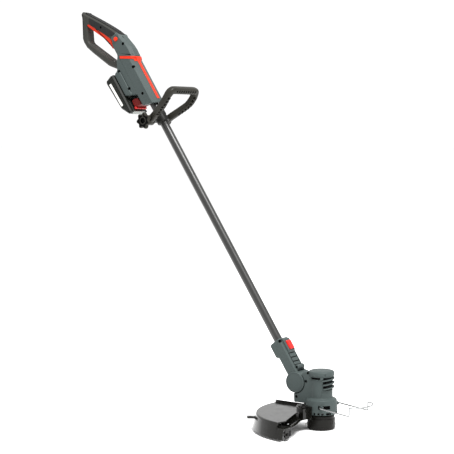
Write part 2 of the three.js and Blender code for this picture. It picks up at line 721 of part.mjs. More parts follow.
function makeShaft() {
  const group = new THREE.Group();
  const from = couplingTop - tubeInCoupling;
  const to = couplingTop + tubeBare + tubeInHousing;
  const tube = cut(
    rodZ(tubeRadius, from, to, 0, 0, roundSides),
    rodZ(tubeRadius - tubeWall, from - 5, to + 5, 0, 0, roundSides),
    rodY(screwShankRadius + gap, -20, 20, 0, couplingTop + tubeBare + 40));
  group.add(named('shaft_tube', tube, looks.tube));
  const cable = rodZ(cableRadius, from - 6, to + 12, cableOffset, 0, 10);
  group.add(named('shaft_cable', cable, looks.black));
  const ring = cut(
    rodZ(tubeRadius + ringWall, ringBottom, ringBottom + ringHeight, 0, 0, roundSides),
    rodZ(tubeRadius + gap, 0, 200, 0, 0, roundSides));
  group.add(named('retaining_ring', ring, looks.darkSteel));
  return group;
}

// ---------------------------------------------------------------- head
const headScrews = [
  ['head_screw_upper', -36, 133], ['head_screw_middle', -32, 113], ['head_screw_lower', -58, 76],
];
const cheekRoom = cheekRadius + 2;

function neckOutline() {
  const upper = [-pivotBack + 24, pivotHeight + 27];
  return [
    [0, neckBottom], [0, 141], [-24, 142], upper, [-pivotBack, pivotHeight],
    [-neckBack - 1, pivotHeight - 20], [-neckBack, neckBottom],
  ];
}

function headOuter() {
  const barrel = turned([
    [0, collarBottom], [collarRadius - 1.5, collarBottom], [collarRadius, collarBottom + 3],
    [collarRadius - 2.5, collarTop], [motorHousingRadius, collarTop + 3],
    [motorHousingRadius, capBottom - 12], [capRadius - 1, capBottom - 9], [capRadius - 1, capBottom - gap],
    [0, capBottom - gap],
  ]);
  const neck = cut(
    plateY(neckOutline(), neckHalfWidth, { chamfer: 2 })
      .intersect(box([-100, -50, 0], [0, 50, capBottom + 9])),
    rodZ(capRadius + gap, capBottom - gap, 200, 0, 0, roundSides));
  const tongue = rodY(cheekRadius, -tongueHalfWidth, tongueHalfWidth, -pivotBack, pivotHeight, 40);
  const cheekSpace = cut(
    rodY(cheekRoom, -60, 60, -pivotBack, pivotHeight, 40),
    rodY(cheekRoom + 1, -tongueHalfWidth, tongueHalfWidth, -pivotBack, pivotHeight, 40));
  const aboveTongue = cut(
    rodY(cheekRoom, -60, 60, -pivotBack, pivotHeight, 40),
    rodY(cheekRadius, -60, 60, -pivotBack, pivotHeight, 40));
  return join(cut(join(barrel, neck), cheekSpace,
    aboveTongue.intersect(box([-200, -60, pivotHeight], [-pivotBack + 12, 60, 300]))), tongue);
}

function headShell(side) {
  const motorRoom = rodZ(motorHousingRadius - housingWall, collarFloor + 4, 200, 0, 0, roundSides);
  const spoolRoom = rodZ(spoolRadius + 1, 0, collarFloor, 0, 0, roundSides);
  const wireHole = (y) => rodY(wireRadius + 0.2, y - 10, y + 10, wirePivotX, wirePivotZ);
  const grooves = [-1, 1].map((s) => box(
    [6, s * 34 - (s < 0 ? 12 : 0), wirePivotZ - 4], [36, s * 34 + (s > 0 ? 12 : 0), wirePivotZ + 7]));
  const recess = cut(join(...grooves), rodZ(collarRadius - 3, 0, 200, 0, 0, roundSides));
  const ventAngles = Array.from({ length: 7 }, (_, i) => -96 + i * 32);
  const vents = ventAngles.map((degrees) => {
    const angle = degrees * Math.PI / 180;
    const geometry = new THREE.BoxGeometry(16, 6, 4);
    geometry.translate(collarRadius, 0, collarBottom + 5.5);
    geometry.rotateZ(angle);
    return solid(geometry);
  });
  const screws = headScrews.map(([, x, z]) => screwHole(x, z, neckHalfWidth, screwRecess));
  const neckRoom = box([-50, -12, neckBottom + 6], [-20, 12, neckBottom + 24]);
  const guardHoles = guardScrewAngles.map((degrees) => radialRod(
    screwShankRadius + gap, 26, 60, degrees, guardScrewHeight));
  const shell = cut(headOuter(), motorRoom, spoolRoom, recess, ...vents, ...screws, ...guardHoles, neckRoom,
    rodZ(9, 0, 100, 0, 0, 24),
    rodY(hingePinRadius + gap, -30, 30, -pivotBack, pivotHeight),
    wireHole(34), wireHole(-34));
  return halfOf(shell, side);
}

function makeMotorCap() {
  return turned([
    [0, capBottom], [capRadius, capBottom], [capRadius, capTop - 6], [capRadius - 3, capTop - 2],
    [capRadius - 9, capTop], [0, capTop],
  ]);
}

function makeHead() {
  const group = new THREE.Group();
  group.add(named('motor_housing_right', headShell(-1), looks.housing));
  group.add(named('motor_housing_left', headShell(1), looks.housing));
  group.add(named('motor_cap', makeMotorCap(), looks.housing));
  const can = cut(
    rodZ(motorRadius, motorBottom, motorTop, 0, 0, roundSides),
    rodZ(motorShaftRadius + 0.06, 0, 200, 0, 0, bearingSides));
  group.add(named('motor_can', can, looks.steel));
  const plate = cut(
    rodZ(motorHousingRadius - housingWall - gap, motorBottom - 6, motorBottom - gap, 0, 0, roundSides),
    rodZ(8, 0, 200));
  group.add(named('motor_plate', plate, looks.darkSteel));
  headScrews.forEach(([name, x, z]) => group.add(screw(name, x, z, neckHalfWidth, screwRecess)));
  return group;
}

const eyeletHeight = 11;
const eyeletAngle = 210 * Math.PI / 180;
const eyeletRadius = 3;
const spoolWall = 2;

function eyeletBar(radius, from, to, angle) {
  const geometry = rodGeometry(radius, from, to, smallSides);
  geometry.rotateY(Math.PI / 2);
  geometry.translate(0, 0, eyeletHeight);
  geometry.rotateZ(angle);
  return solid(geometry);
}

function makeSpinner() {
  const group = new THREE.Group();
  group.add(named('motor_shaft', rodZ(motorShaftRadius, spoolTop - 6, 128, 0, 0, bearingSides), looks.steel));
  const blades = Array.from({ length: 7 }, (_, i) => {
    const geometry = new THREE.BoxGeometry(16, 1.5, 5);
    geometry.translate(13, 0, motorTop + 5);
    geometry.rotateZ(i * 2 * Math.PI / 7);
    return solid(geometry);
  });
  const fanHub = rodZ(7, motorTop + 2.2, motorTop + 7.8);
  const fan = cut(join(fanHub, ...blades), rodZ(motorShaftRadius + gap, 0, 200));
  group.add(named('cooling_fan', fan, looks.black));
  const driveHub = cut(
    rodZ(7, spoolTop + gap, collarFloor + 6, 0, 0, 6),
    rodZ(motorShaftRadius + gap, 0, 200));
  group.add(named('drive_hub', driveHub, looks.steel));
  const angles = [eyeletAngle, eyeletAngle + Math.PI];
  const seam = spoolCapHeight + gap;
  const housing = cut(
    turned([[0, seam], [spoolRadius, seam], [spoolRadius, spoolTop - 9], [spoolRadius - 1.5, spoolTop - 8],
      [spoolRadius - 1.5, spoolTop - 2], [spoolRadius - 4, spoolTop], [0, spoolTop]]),
    rodZ(spoolRadius - spoolWall, 0, spoolTop - 3, 0, 0, roundSides),
    rodZ(motorShaftRadius + gap, 0, 200),
    ...angles.map((angle) => eyeletBar(eyeletRadius + gap, 10, 60, angle)));
  group.add(named('spool_housing', housing, looks.black));
  const cap = cut(
    turned([[0, 0], [spoolRadius - 2.5, 0], [spoolRadius, 2.5], [spoolRadius, spoolCapHeight],
      [0, spoolCapHeight]]),
    rodZ(spoolRadius - spoolWall, 2.5, 60, 0, 0, roundSides));
  group.add(named('spool_cap', cap, looks.black));
  const bobbinBottom = 2.5 + gap;
  const bobbinTop = spoolTop - 3 - gap;
  const flangeRadius = spoolRadius - 5.5;
  const bobbin = cut(
    turned([[0, bobbinBottom], [flangeRadius, bobbinBottom], [flangeRadius, bobbinBottom + 2],
      [13, bobbinBottom + 2], [13, bobbinTop - 2], [flangeRadius, bobbinTop - 2], [flangeRadius, bobbinTop],
      [0, bobbinTop]]),
    rodZ(6.5, 0, 60, 0, 0, 24));
  group.add(named('line_spool', bobbin, looks.black));
  const woundLine = cut(
    rodZ(flangeRadius - 4, bobbinBottom + 2 + gap, bobbinTop - 2 - gap, 0, 0, roundSides),
    rodZ(13 + gap, 0, 60, 0, 0, roundSides));
  group.add(named('wound_line', woundLine, looks.line));
  const spring = cut(rodZ(6, bobbinBottom, spoolTop - 6 - gap, 0, 0, 20), rodZ(4.6, 0, 60, 0, 0, 20));
  group.add(named('spool_spring', spring, looks.steel));
  angles.forEach((angle, i) => {
    const eyelet = cut(
      join(eyeletBar(eyeletRadius, spoolRadius - spoolWall - 0.5, spoolRadius + 0.5, angle),
        eyeletBar(eyeletRadius + 1, spoolRadius + gap, spoolRadius + 1.2, angle)),
      eyeletBar(eyeletRadius - 1, 0, 60, angle));
    group.add(named(`line_eyelet_${i + 1}`, eyelet, looks.steel));
  });
  const lineStart = spoolRadius - 4;
  const points = [
    [lineStart, 0], [spoolRadius + 4, 0], [spoolRadius + 4.5, -4.5], [spoolRadius + 1.2 + 2 * lineRadius, -5],
  ].map(([radius, drop]) => new THREE.Vector3(radius, 0, eyeletHeight + drop));
  const lineEnd = bar(roundedPath(points, 1.2), lineRadius, 6, 14);
  const lineMesh = named('cutting_line', lineEnd, looks.line);
  lineMesh.rotation.z = eyeletAngle;
  group.add(lineMesh);
  return group;
}

// ---------------------------------------------------------------- guard, line cutter and wire guard
const guardScrewAngles = [205, 248];
const guardScrewHeight = 55;
const neckRingWall = 4;
const bracketRadius = 62;
const bracketTop = 55;

function radialRod(radius, from, to, degrees, height, sides = smallSides) {
  const geometry = rodGeometry(radius, from, to, sides);
  geometry.rotateY(Math.PI / 2);
  geometry.translate(0, 0, height);
  geometry.rotateZ(degrees * Math.PI / 180);
  return solid(geometry);
}

// A flat block set along a radius of the guard's arc: low and high corners as radius, sideways and height.
function guardBlock(degrees, low, high) {
  const size = high.map((value, axis) => value - low[axis]);
  const geometry = new THREE.BoxGeometry(...size);
  geometry.translate(...low.map((value, axis) => value + size[axis] / 2));
  geometry.rotateZ(degrees * Math.PI / 180);
  geometry.translate(guardCentreX, guardCentreY, 0);
  return solid(geometry);
}

function guardShell() {
  const centre = [guardCentreX, guardCentreY];
  const rim = arc(...centre, guardRadius, guardFarAngle, guardNearAngle, 18);
  const farY = rim[0][1];
  const stepTop = [-39, -58];
  const stepFoot = rim[rim.length - 1];
  const plateOutline = [...rim, stepTop, [-10, -38], [-10, farY - 5], [-60, farY - 4]];
  const plate = plateZ(plateOutline, guardTop - guardWall, guardTop);
  const flangeRim = arc(...centre, guardRadius + guardFlare / 3, guardNearAngle - 0.7, guardFlangeAngle, 3);
  const flangeBottom = guardFlangeTop - guardWall;
  const flangeEdge = [[9, 33.5 - guardRadius], [-2, 75.5 - guardRadius], [-18, -68], [-20, -36]];
  const flange = plateZ([...flangeRim, ...flangeEdge, stepTop], flangeBottom, guardFlangeTop);
  const step = plateZ([stepFoot, [stepFoot[0] - guardWall, stepFoot[1]], [stepTop[0] - guardWall, stepTop[1]],
    [-22, -34], [-18, -34], stepTop], flangeBottom, guardTop);
  const skirtProfile = [
    [guardRadius, guardTop], [guardRadius - guardWall, guardTop],
    [guardRadius + guardFlare - guardWall, guardBottom], [guardRadius + guardFlare, guardBottom],
    [guardRadius, guardTop],
  ];
  const skirtGeometry = new THREE.LatheGeometry(skirtProfile.map(([r, z]) => new THREE.Vector2(r, z)), 72);
  skirtGeometry.rotateX(Math.PI / 2);
  skirtGeometry.translate(...centre, 0);
  const fullSkirt = solid(skirtGeometry);
  const beyond = 260;
  const tall = plateZ([centre, ...arc(...centre, beyond, guardFarAngle, guardNearAngle, 8)], 0, 60);
  const lowArc = arc(...centre, beyond, guardNearAngle - 1, guardFlangeAngle, 3);
  const low = plateZ([centre, ...lowArc], 0, guardFlangeTop);
  const skirt = fullSkirt.intersect(tall.add(low));
  const lip = plateZ([
    rim[0], [rim[0][0] + 8, farY - guardWall], [-58, farY - 4 - guardWall], [-58, farY - 4],
  ], guardTop - guardWall, guardTop + 6);
  const endWall = guardBlock(guardFlangeAngle,
    [guardRadius - 19, -guardWall, guardBottom], [guardRadius - 5, 0, guardFlangeTop]);
  const hook = cut(
    guardBlock(214, [guardRadius, -7, 27], [guardRadius + 22, 7, 33]),
    guardBlock(214, [guardRadius + 10, -3, 20], [guardRadius + 40, 3, 40]));
  const ringOuter = collarRadius + gap + neckRingWall;
  const ringSector = plateZ([[0, 0], ...arc(0, 0, 90, 138, 266, 8)], flangeBottom, guardNeckTop);
  const ring = rodZ(ringOuter, flangeBottom, guardNeckTop, 0, 0, 40).intersect(ringSector);
  const bracketSector = plateZ([[0, 0], ...arc(0, 0, 90, 194, 254, 6)], flangeBottom, bracketTop);
  const bracket = rodZ(bracketRadius, flangeBottom, bracketTop, 0, 0, 40).intersect(bracketSector);
  const screwHoles = guardScrewAngles.map((degrees) => radialRod(
    screwShankRadius + gap, 0, 100, degrees, guardScrewHeight));
  const screwRooms = guardScrewAngles.map((degrees) => radialRod(
    screwHeadRadius + 1, ringOuter, 100, degrees, guardScrewHeight));
  const cutterHole = guardBlock(guardFlangeAngle, [guardRadius - 14, -20, 13], [guardRadius - 10, 20, 17]);
  return cut(join(plate, flange, step, skirt, lip, endWall, hook, ring, bracket),
    rodZ(collarRadius + gap, 0, 200, 0, 0, 48), ...screwHoles, ...screwRooms, cutterHole);
}

function makeGuard() {
  const group = new THREE.Group();
  group.add(named('guard', guardShell(), looks.guard));
  const ringOuter = collarRadius + gap + neckRingWall;
  guardScrewAngles.forEach((degrees, i) => {
    const headStart = ringOuter + gap;
    const headEnd = headStart + screwHeadHeight;
    const head = radialRod(screwHeadRadius, headStart, headEnd, degrees, guardScrewHeight);
    const shank = radialRod(screwShankRadius, ringOuter - 15, headStart + gap, degrees, guardScrewHeight);
    group.add(named(`guard_screw_${i + 1}`, join(head, shank), looks.darkSteel));
  });
  const bladeFace = -guardWall - gap;
  const blade = cut(
    guardBlock(guardFlangeAngle, [guardRadius - 29, bladeFace - 1.2, 8], [guardRadius - 6, bladeFace, 22]),
    guardBlock(guardFlangeAngle, [guardRadius - 14, -20, 13], [guardRadius - 10, 20, 17]));
  group.add(named('line_cutter', blade, looks.steel));
  const cutterScrew = join(
    guardBlock(guardFlangeAngle, [guardRadius - 15, gap, 12], [guardRadius - 9, 2.2, 18]),
    guardBlock(guardFlangeAngle, [guardRadius - 13.7, -6, 13.3], [guardRadius - 10.3, 1, 16.7]));
  group.add(named('cutter_screw', cutterScrew, looks.darkSteel));
  return group;
}

function makeWireGuard() {
  const side = [
    new THREE.Vector3(wirePivotX, 26, wirePivotZ),
    new THREE.Vector3(wirePivotX, wireHalfWidth, wirePivotZ),
    new THREE.Vector3(wireReach, wireHalfWidth, wirePivotZ - wireDrop),
    new THREE.Vector3(wireReach, wireHalfWidth, wirePivotZ - wireDrop + wireUpturn),
  ];
  const nose = Array.from({ length: 9 }, (_, i) => {
    const angle = (80 - i * 20) * Math.PI / 180;
    return new THREE.Vector3(wireReach + wireNose * Math.cos(angle), wireHalfWidth * Math.sin(angle),
      wirePivotZ - wireDrop + wireUpturn);
  });
  const path = roundedPath([...side, ...nose, ...mirrored(side)], 3.5);
  return named('wire_guard', bar(path, wireRadius, 6, 64), looks.steel);
}

// ---------------------------------------------------------------- the whole trimmer
const gripCentre = new THREE.Vector3(-18, 0, bodyTop + 114);
const housingStation = couplingTop + tubeBare;

const battery = makeBattery();
const handle = new THREE.Group();
handle.position.z = housingStation;
handle.add(makeHandle(), battery);

const assist = makeAssistHandle();
assist.position.z = housingStation - assistDrop;

const shaft = new THREE.Group();
shaft.position.set(-pivotBack, 0, pivotHeight);
shaft.rotation.y = -shaftLean;
shaft.add(makeCoupling(), makeShaft(), handle, assist);

const tool = new THREE.Group();
tool.add(makeHead(), makeSpinner(), makeGuard(), makeWireGuard(), shaft);
tool.updateMatrixWorld(true);
tool.position.copy(handle.localToWorld(gripCentre.clone()).negate());

const trimmer = new THREE.Group();
trimmer.add(tool);

export default trimmer;
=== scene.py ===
import json
from math import atan2, copysign, cos, hypot, pi, radians, sin, tan

import bmesh
import bpy
from mathutils import Matrix, Vector


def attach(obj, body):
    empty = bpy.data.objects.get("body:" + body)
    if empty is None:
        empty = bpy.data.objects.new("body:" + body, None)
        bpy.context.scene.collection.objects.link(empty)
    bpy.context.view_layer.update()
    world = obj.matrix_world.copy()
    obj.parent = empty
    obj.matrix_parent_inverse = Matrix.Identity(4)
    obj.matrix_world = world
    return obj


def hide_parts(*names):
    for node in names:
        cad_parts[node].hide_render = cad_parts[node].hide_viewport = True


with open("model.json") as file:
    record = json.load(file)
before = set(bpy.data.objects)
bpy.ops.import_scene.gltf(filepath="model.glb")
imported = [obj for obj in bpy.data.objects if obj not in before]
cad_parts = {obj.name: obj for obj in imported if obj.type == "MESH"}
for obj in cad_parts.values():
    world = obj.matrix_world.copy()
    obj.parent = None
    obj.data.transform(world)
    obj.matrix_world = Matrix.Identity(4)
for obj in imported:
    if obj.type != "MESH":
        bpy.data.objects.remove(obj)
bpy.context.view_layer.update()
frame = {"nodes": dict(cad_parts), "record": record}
nodes = frame["nodes"]

# ---------------- frames
# Each frame takes millimetres to the world's metres
MM = 0.001
LEAN = radians(33)
ACROSS = Vector((cos(LEAN), 0, sin(LEAN)))
ALONG = Vector((-sin(LEAN), 0, cos(LEAN)))
PIVOT = Vector((0.60004, 0, -0.89093))
SHAFT = Matrix((
    (ACROSS.x * MM, 0, ALONG.x * MM, PIVOT.x),
    (0, MM, 0, 0),
    (ACROSS.z * MM, 0, ALONG.z * MM, PIVOT.z),
    (0, 0, 0, 1),
))
BODY_FOOT = 822
CLAMP_MIDDLE = 786
SPOOL_FOOT = (0.66244, 0, -1.00303)
HANDLE = SHAFT @ Matrix.Translation((0, 0, BODY_FOOT))
ASSIST = SHAFT @ Matrix.Translation((0, 0, CLAMP_MIDDLE))
HEAD = Matrix.Translation(SPOOL_FOOT) @ Matrix.Diagonal((MM, MM, MM, 1))

# Cuts reach this far, clear of every solid that they go through
THROUGH = 60


# ---------------- outlines
NEARLY_STRAIGHT = radians(176)
CORNER_SHARE = 0.47
MITRE_LEAST = 0.25


def rounded(points, radius, steps=5):
    """The closed outline with each corner rounded. A third number on a point is its own radius."""
    result = []
    for i, point in enumerate(points):
        here = Vector(point[:2])
        back = Vector(points[i - 1][:2]) - here
        ahead = Vector(points[(i + 1) % len(points)][:2]) - here
        want = point[2] if len(point) > 2 else radius
        angle = back.angle(ahead)
        if want <= 0 or angle > NEARLY_STRAIGHT:
            result.append(tuple(here))
            continue
        reach = min(want / tan(angle / 2), CORNER_SHARE * back.length, CORNER_SHARE * ahead.length)
        real = reach * tan(angle / 2)
        bisector = (back.normalized() + ahead.normalized()).normalized()
        centre = here + bisector * (real / sin(angle / 2))
        first = here + back.normalized() * reach - centre
        last = here + ahead.normalized() * reach - centre
        start = atan2(first.y, first.x)
        turn = (atan2(last.y, last.x) - start + pi) % (2 * pi) - pi
        for k in range(steps + 1):
            a = start + turn * k / steps
            result.append((centre.x + real * cos(a), centre.y + real * sin(a)))
    return result


def inset(points, distance):
    """The closed outline moved inward by a distance."""
    area = sum(p[0] * q[1] - q[0] * p[1] for p, q in zip(points, points[1:] + points[:1]))
    turn = 1 if area > 0 else -1
    result = []
    for i, point in enumerate(points):
        here = Vector(point[:2])
        before = (here - Vector(points[i - 1][:2])).normalized()
        after = (Vector(points[(i + 1) % len(points)][:2]) - here).normalized()
        normal = Vector((-before.y - after.y, before.x + after.x)) * turn
        result.append(tuple(here + normal * (distance / max(MITRE_LEAST, 1 + before.dot(after)))))
    return result


def smooth(points, per):
    """An open Catmull-Rom curve through points, with some steps per span."""
    pts = [Vector(p) for p in points]
    last = len(pts) - 1
    result = []
    for i in range(last):
        p0, p1, p2, p3 = pts[max(i - 1, 0)], pts[i], pts[i + 1], pts[min(i + 2, last)]
        for k in range(per):
            t = k / per
            result.append(0.5 * ((2 * p1) + (p2 - p0) * t + (2 * p0 - 5 * p1 + 4 * p2 - p3) * t * t
                                 + (3 * p1 - p0 - 3 * p2 + p3) * t ** 3))
    return result + [pts[-1]]


def arc(cx, cy, radius, start, end, count):
    """Places on a circle, between two angles in degrees."""
    steps = [radians(start + (end - start) * k / count) for k in range(count + 1)]
    return [(cx + radius * cos(a), cy + radius * sin(a)) for a in steps]


def edge_profile(half, chamfer, soft, steps=3):
    """Places (inset, y) over a plate's thickness: a chamfer with soft corners on both faces."""
    inward = chamfer + 40
    corner = rounded([(inward, half, 0), (chamfer, half), (0, half - chamfer), (0, 0, 0)], soft, steps)
    upper = corner[1:-1]
    return [(d, -y) for d, y in upper] + [(d, y) for d, y in reversed(upper)]


# ---------------- solids
SAME_POINT = 1e-5
SLIVER = 1e-4
FLAT = radians(0.3)


def linked(name, data):
    """A new object in the scene."""
    obj = bpy.data.objects.new(name, data)
    bpy.context.scene.collection.objects.link(obj)
    return obj


def mesh_object(name, verts, faces):
    """A linked object with its doubled points merged and its faces turned outward."""
    mesh = bpy.data.meshes.new(name)
    mesh.from_pydata([tuple(v) for v in verts], [], faces)
    bm = bmesh.new()
    bm.from_mesh(mesh)
    bmesh.ops.remove_doubles(bm, verts=bm.verts, dist=SAME_POINT)
    bmesh.ops.recalc_face_normals(bm, faces=bm.faces)
    bm.to_mesh(mesh)
    bm.free()
    return linked(name, mesh)


def rings_object(rings, closed=False):
    """A skin over rings of equal numbers of points, capped unless it closes on itself."""
    count = len(rings[0])
    verts = [v for ring in rings for v in ring]
    faces = []
    spans = len(rings) if closed else len(rings) - 1
    for r in range(spans):
        base, ahead = r * count, ((r + 1) % len(rings)) * count
        for i in range(count):
            j = (i + 1) % count
            faces.append((base + i, base + j, ahead + j, ahead + i))
    if not closed:
        faces.append(tuple(reversed(range(count))))
        faces.append(tuple(range((len(rings) - 1) * count, len(rings) * count)))
    return mesh_object("solid", verts, faces)


def plate(outline, profile):
    """An outline in the X-Z plane, given thickness along Y by a profile of (inset, y)."""
    return rings_object([[(x, y, z) for x, z in inset(outline, d)] for d, y in profile])


def soft_plate(points, corner, half, chamfer, soft, steps=3):
    """A plate with rounded corners and chamfered edges."""
    return plate(rounded(points, corner), edge_profile(half, chamfer, soft, steps))


def slab(outline, low, high):
    """An outline in the X-Z plane, filled from one Y to another."""
    return plate(outline, [(0, low), (0, high)])


def raised(outline, profile):
    """An outline in the X-Y plane, given height by a profile of (inset, z)."""
    return rings_object([[(x, y, z) for x, y in inset(outline, d)] for d, z in profile])


def block(low, high, soft=0.0):
    """A box between two corners, whose edges may be softened."""
    outline = [(low[0], low[2]), (high[0], low[2]), (high[0], high[2]), (low[0], high[2])]
    mid = (low[1] + high[1]) / 2
    if soft:
        profile = edge_profile((high[1] - low[1]) / 2, soft, soft * 0.8)
        return plate(rounded(outline, soft), [(d, y + mid) for d, y in profile])
    return slab(outline, low[1], high[1])


def lathe(profile, sides=96, axis="Z", x=0.0, z=0.0):
    """A profile of (radius, height) turned about an axis through (x, z)."""
    verts, faces, rows = [], [], []
    for radius, height in profile:
        if radius < 1e-6:
            verts.append((0, 0, height))
            rows.append([len(verts) - 1])
            continue
        rows.append(list(range(len(verts), len(verts) + sides)))
        for k in range(sides):
            a = 2 * pi * k / sides
            verts.append((radius * cos(a), radius * sin(a), height))
    for lower, upper in zip(rows, rows[1:]):
        for i in range(sides):
            j = (i + 1) % sides
            quad = [row[m % len(row)] for row, m in ((lower, i), (lower, j), (upper, j), (upper, i))]
            face = tuple(dict.fromkeys(quad))
            if len(face) > 2:
                faces.append(face)
    for row, flip in ((rows[0], True), (rows[-1], False)):
        if len(row) > 1:
            faces.append(tuple(reversed(row)) if flip else tuple(row))
    obj = mesh_object("lathe", verts, faces)
    if axis == "Y":
        moved(turned(obj, -90, "X"), x, 0, z)
    return obj


def rod_y(radius, low, high, x, z, sides=32, soft=0.0):
    """A rod along Y, whose two rims may be softened."""
    if soft:
        profile = [(0, low), (radius - soft, low), (radius, low + soft), (radius, high - soft),
                   (radius - soft, high), (0, high)]
    else:
        profile = [(0, low), (radius, low), (radius, high), (0, high)]
    return lathe(profile, sides, "Y", x, z)


def rod_z(radius, low, high, x=0.0, y=0.0, sides=48):
    """A rod along Z."""
    return moved(lathe([(0, low), (radius, low), (radius, high), (0, high)], sides), x, y, 0)


def ring_lathe(profile, sides=96):
    """A closed profile of (radius, height) turned into a ring."""
    rings = []
    for k in range(sides):
        a = 2 * pi * k / sides
        rings.append([(r * cos(a), r * sin(a), z) for r, z in profile])
    return rings_object(rings, closed=True)


def sweep(path, section):
    """A section of (side, up) points carried along an open path without twisting."""
    path = [Vector(p) for p in path]
    last = len(path) - 1
    tangents = [(path[min(i + 1, last)] - path[max(i - 1, 0)]).normalized() for i in range(last + 1)]
    guess = Vector((0, 1, 0)) if abs(tangents[0].y) < 0.9 else Vector((1, 0, 0))
    side = tangents[0].cross(guess).normalized()
    rings = []
    for i, (here, along) in enumerate(zip(path, tangents)):
        if i:
            side = tangents[i - 1].rotation_difference(along) @ side
        side = (side - along * side.dot(along)).normalized()
        up = along.cross(side)
        rings.append([here + (side * a + up * b) for a, b in section])
    return rings_object(rings)


def circle(radius, sides):
    return [(radius * cos(2 * pi * k / sides), radius * sin(2 * pi * k / sides))
            for k in range(sides)]


def transform(obj, matrix):
    obj.data.transform(matrix)
    return obj


def moved(obj, x, y, z):
    return transform(obj, Matrix.Translation((x, y, z)))


def turned(obj, degrees, axis="Z"):
    return transform(obj, Matrix.Rotation(radians(degrees), 4, axis))


def remove(obj):
    mesh = obj.data
    bpy.data.objects.remove(obj)
    bpy.data.meshes.remove(mesh)


def tidy(mesh):
    """Merges what a cut leaves: doubled points, slivers and the parts of one flat face."""
    bm = bmesh.new()
    bm.from_mesh(mesh)
    bmesh.ops.remove_doubles(bm, verts=bm.verts, dist=SLIVER)
    bmesh.ops.dissolve_degenerate(bm, edges=bm.edges, dist=SLIVER)
    bmesh.ops.dissolve_limit(bm, angle_limit=FLAT, verts=bm.verts, edges=bm.edges)
    bm.to_mesh(mesh)
    bm.free()


def combine(obj, tools, operation):
    """obj joined to, cut by or kept inside each tool."""
    for tool in tools:
        modifier = obj.modifiers.new("combine", "BOOLEAN")
        modifier.operation = operation
        modifier.solver = "MANIFOLD"
        modifier.object = tool
    bpy.context.view_layer.update()
    evaluated = obj.evaluated_get(bpy.context.evaluated_depsgraph_get())
    mesh = bpy.data.meshes.new_from_object(evaluated)
    obj.modifiers.clear()
    old = obj.data
    obj.data = mesh
    bpy.data.meshes.remove(old)
    for tool in tools:
        remove(tool)
    return obj


def cut(obj, *tools):
    return combine(obj, tools, "DIFFERENCE")


def join(obj, *tools):
    return combine(obj, tools, "UNION")


def keep(obj, *tools):
    return combine(obj, tools, "INTERSECT")


def copy(obj):
    return linked(obj.name, obj.data.copy())


def halves(obj, gap=0.12):
    """obj split at Y = 0, as its near (-Y) and far (+Y) parts."""
    room = 900
    other = copy(obj)
    near = keep(obj, block((-room, -room, -room), (room, -gap, room)))
    return near, keep(other, block((-room, gap, -room), (room, room, room)))


def piece(obj, name, body, place, look, replaces=(), sharp=32):
    """Finishes a solid: its name, place, material, body and the CAD nodes that it stands for."""
    obj.name = name
    obj.data.name = name
    tidy(obj.data)
    transform(obj, place)
    obj.data.materials.clear()
    obj.data.materials.append(look)
    obj.data.shade_smooth()
    obj.data.set_sharp_from_angle(angle=radians(sharp))
    modifier = obj.modifiers.new("shading", "WEIGHTED_NORMAL")
    modifier.keep_sharp = True
    modifier.weight = 90
    if replaces:
        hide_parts(*replaces)
    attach(obj, body)
    return obj


def split_looks(obj, place, second, rule):
    """Gives the faces that a rule picks, in the solid's own millimetres, a second material."""
    obj.data.materials.append(second)
    back = place.inverted()
    for face in obj.data.polygons:
        if rule(back @ face.center):
            face.material_index = len(obj.data.materials) - 1


def housing_pair(solid, name, shell, body, place, *second_looks):
    """A housing's halves as pieces, with their further looks as (material, rule)."""
    for half, label, hand in zip(halves(solid), ("near", "far"), ("right", "left")):
        piece(half, f"{name}_{label}", body, place, HOUSING, [f"{shell}_{hand}"])
        for look, rule in second_looks:
            split_looks(half, place, look, rule)


def in_hole(point, x, z, radius, half):
    """Whether a place is in a round hole along Y, between the faces at -half and half."""
    return hypot(point.x - x, point.z - z) < radius and abs(point.y) < half


# ---------------- materials
SOFT_EDGE = 0.0006


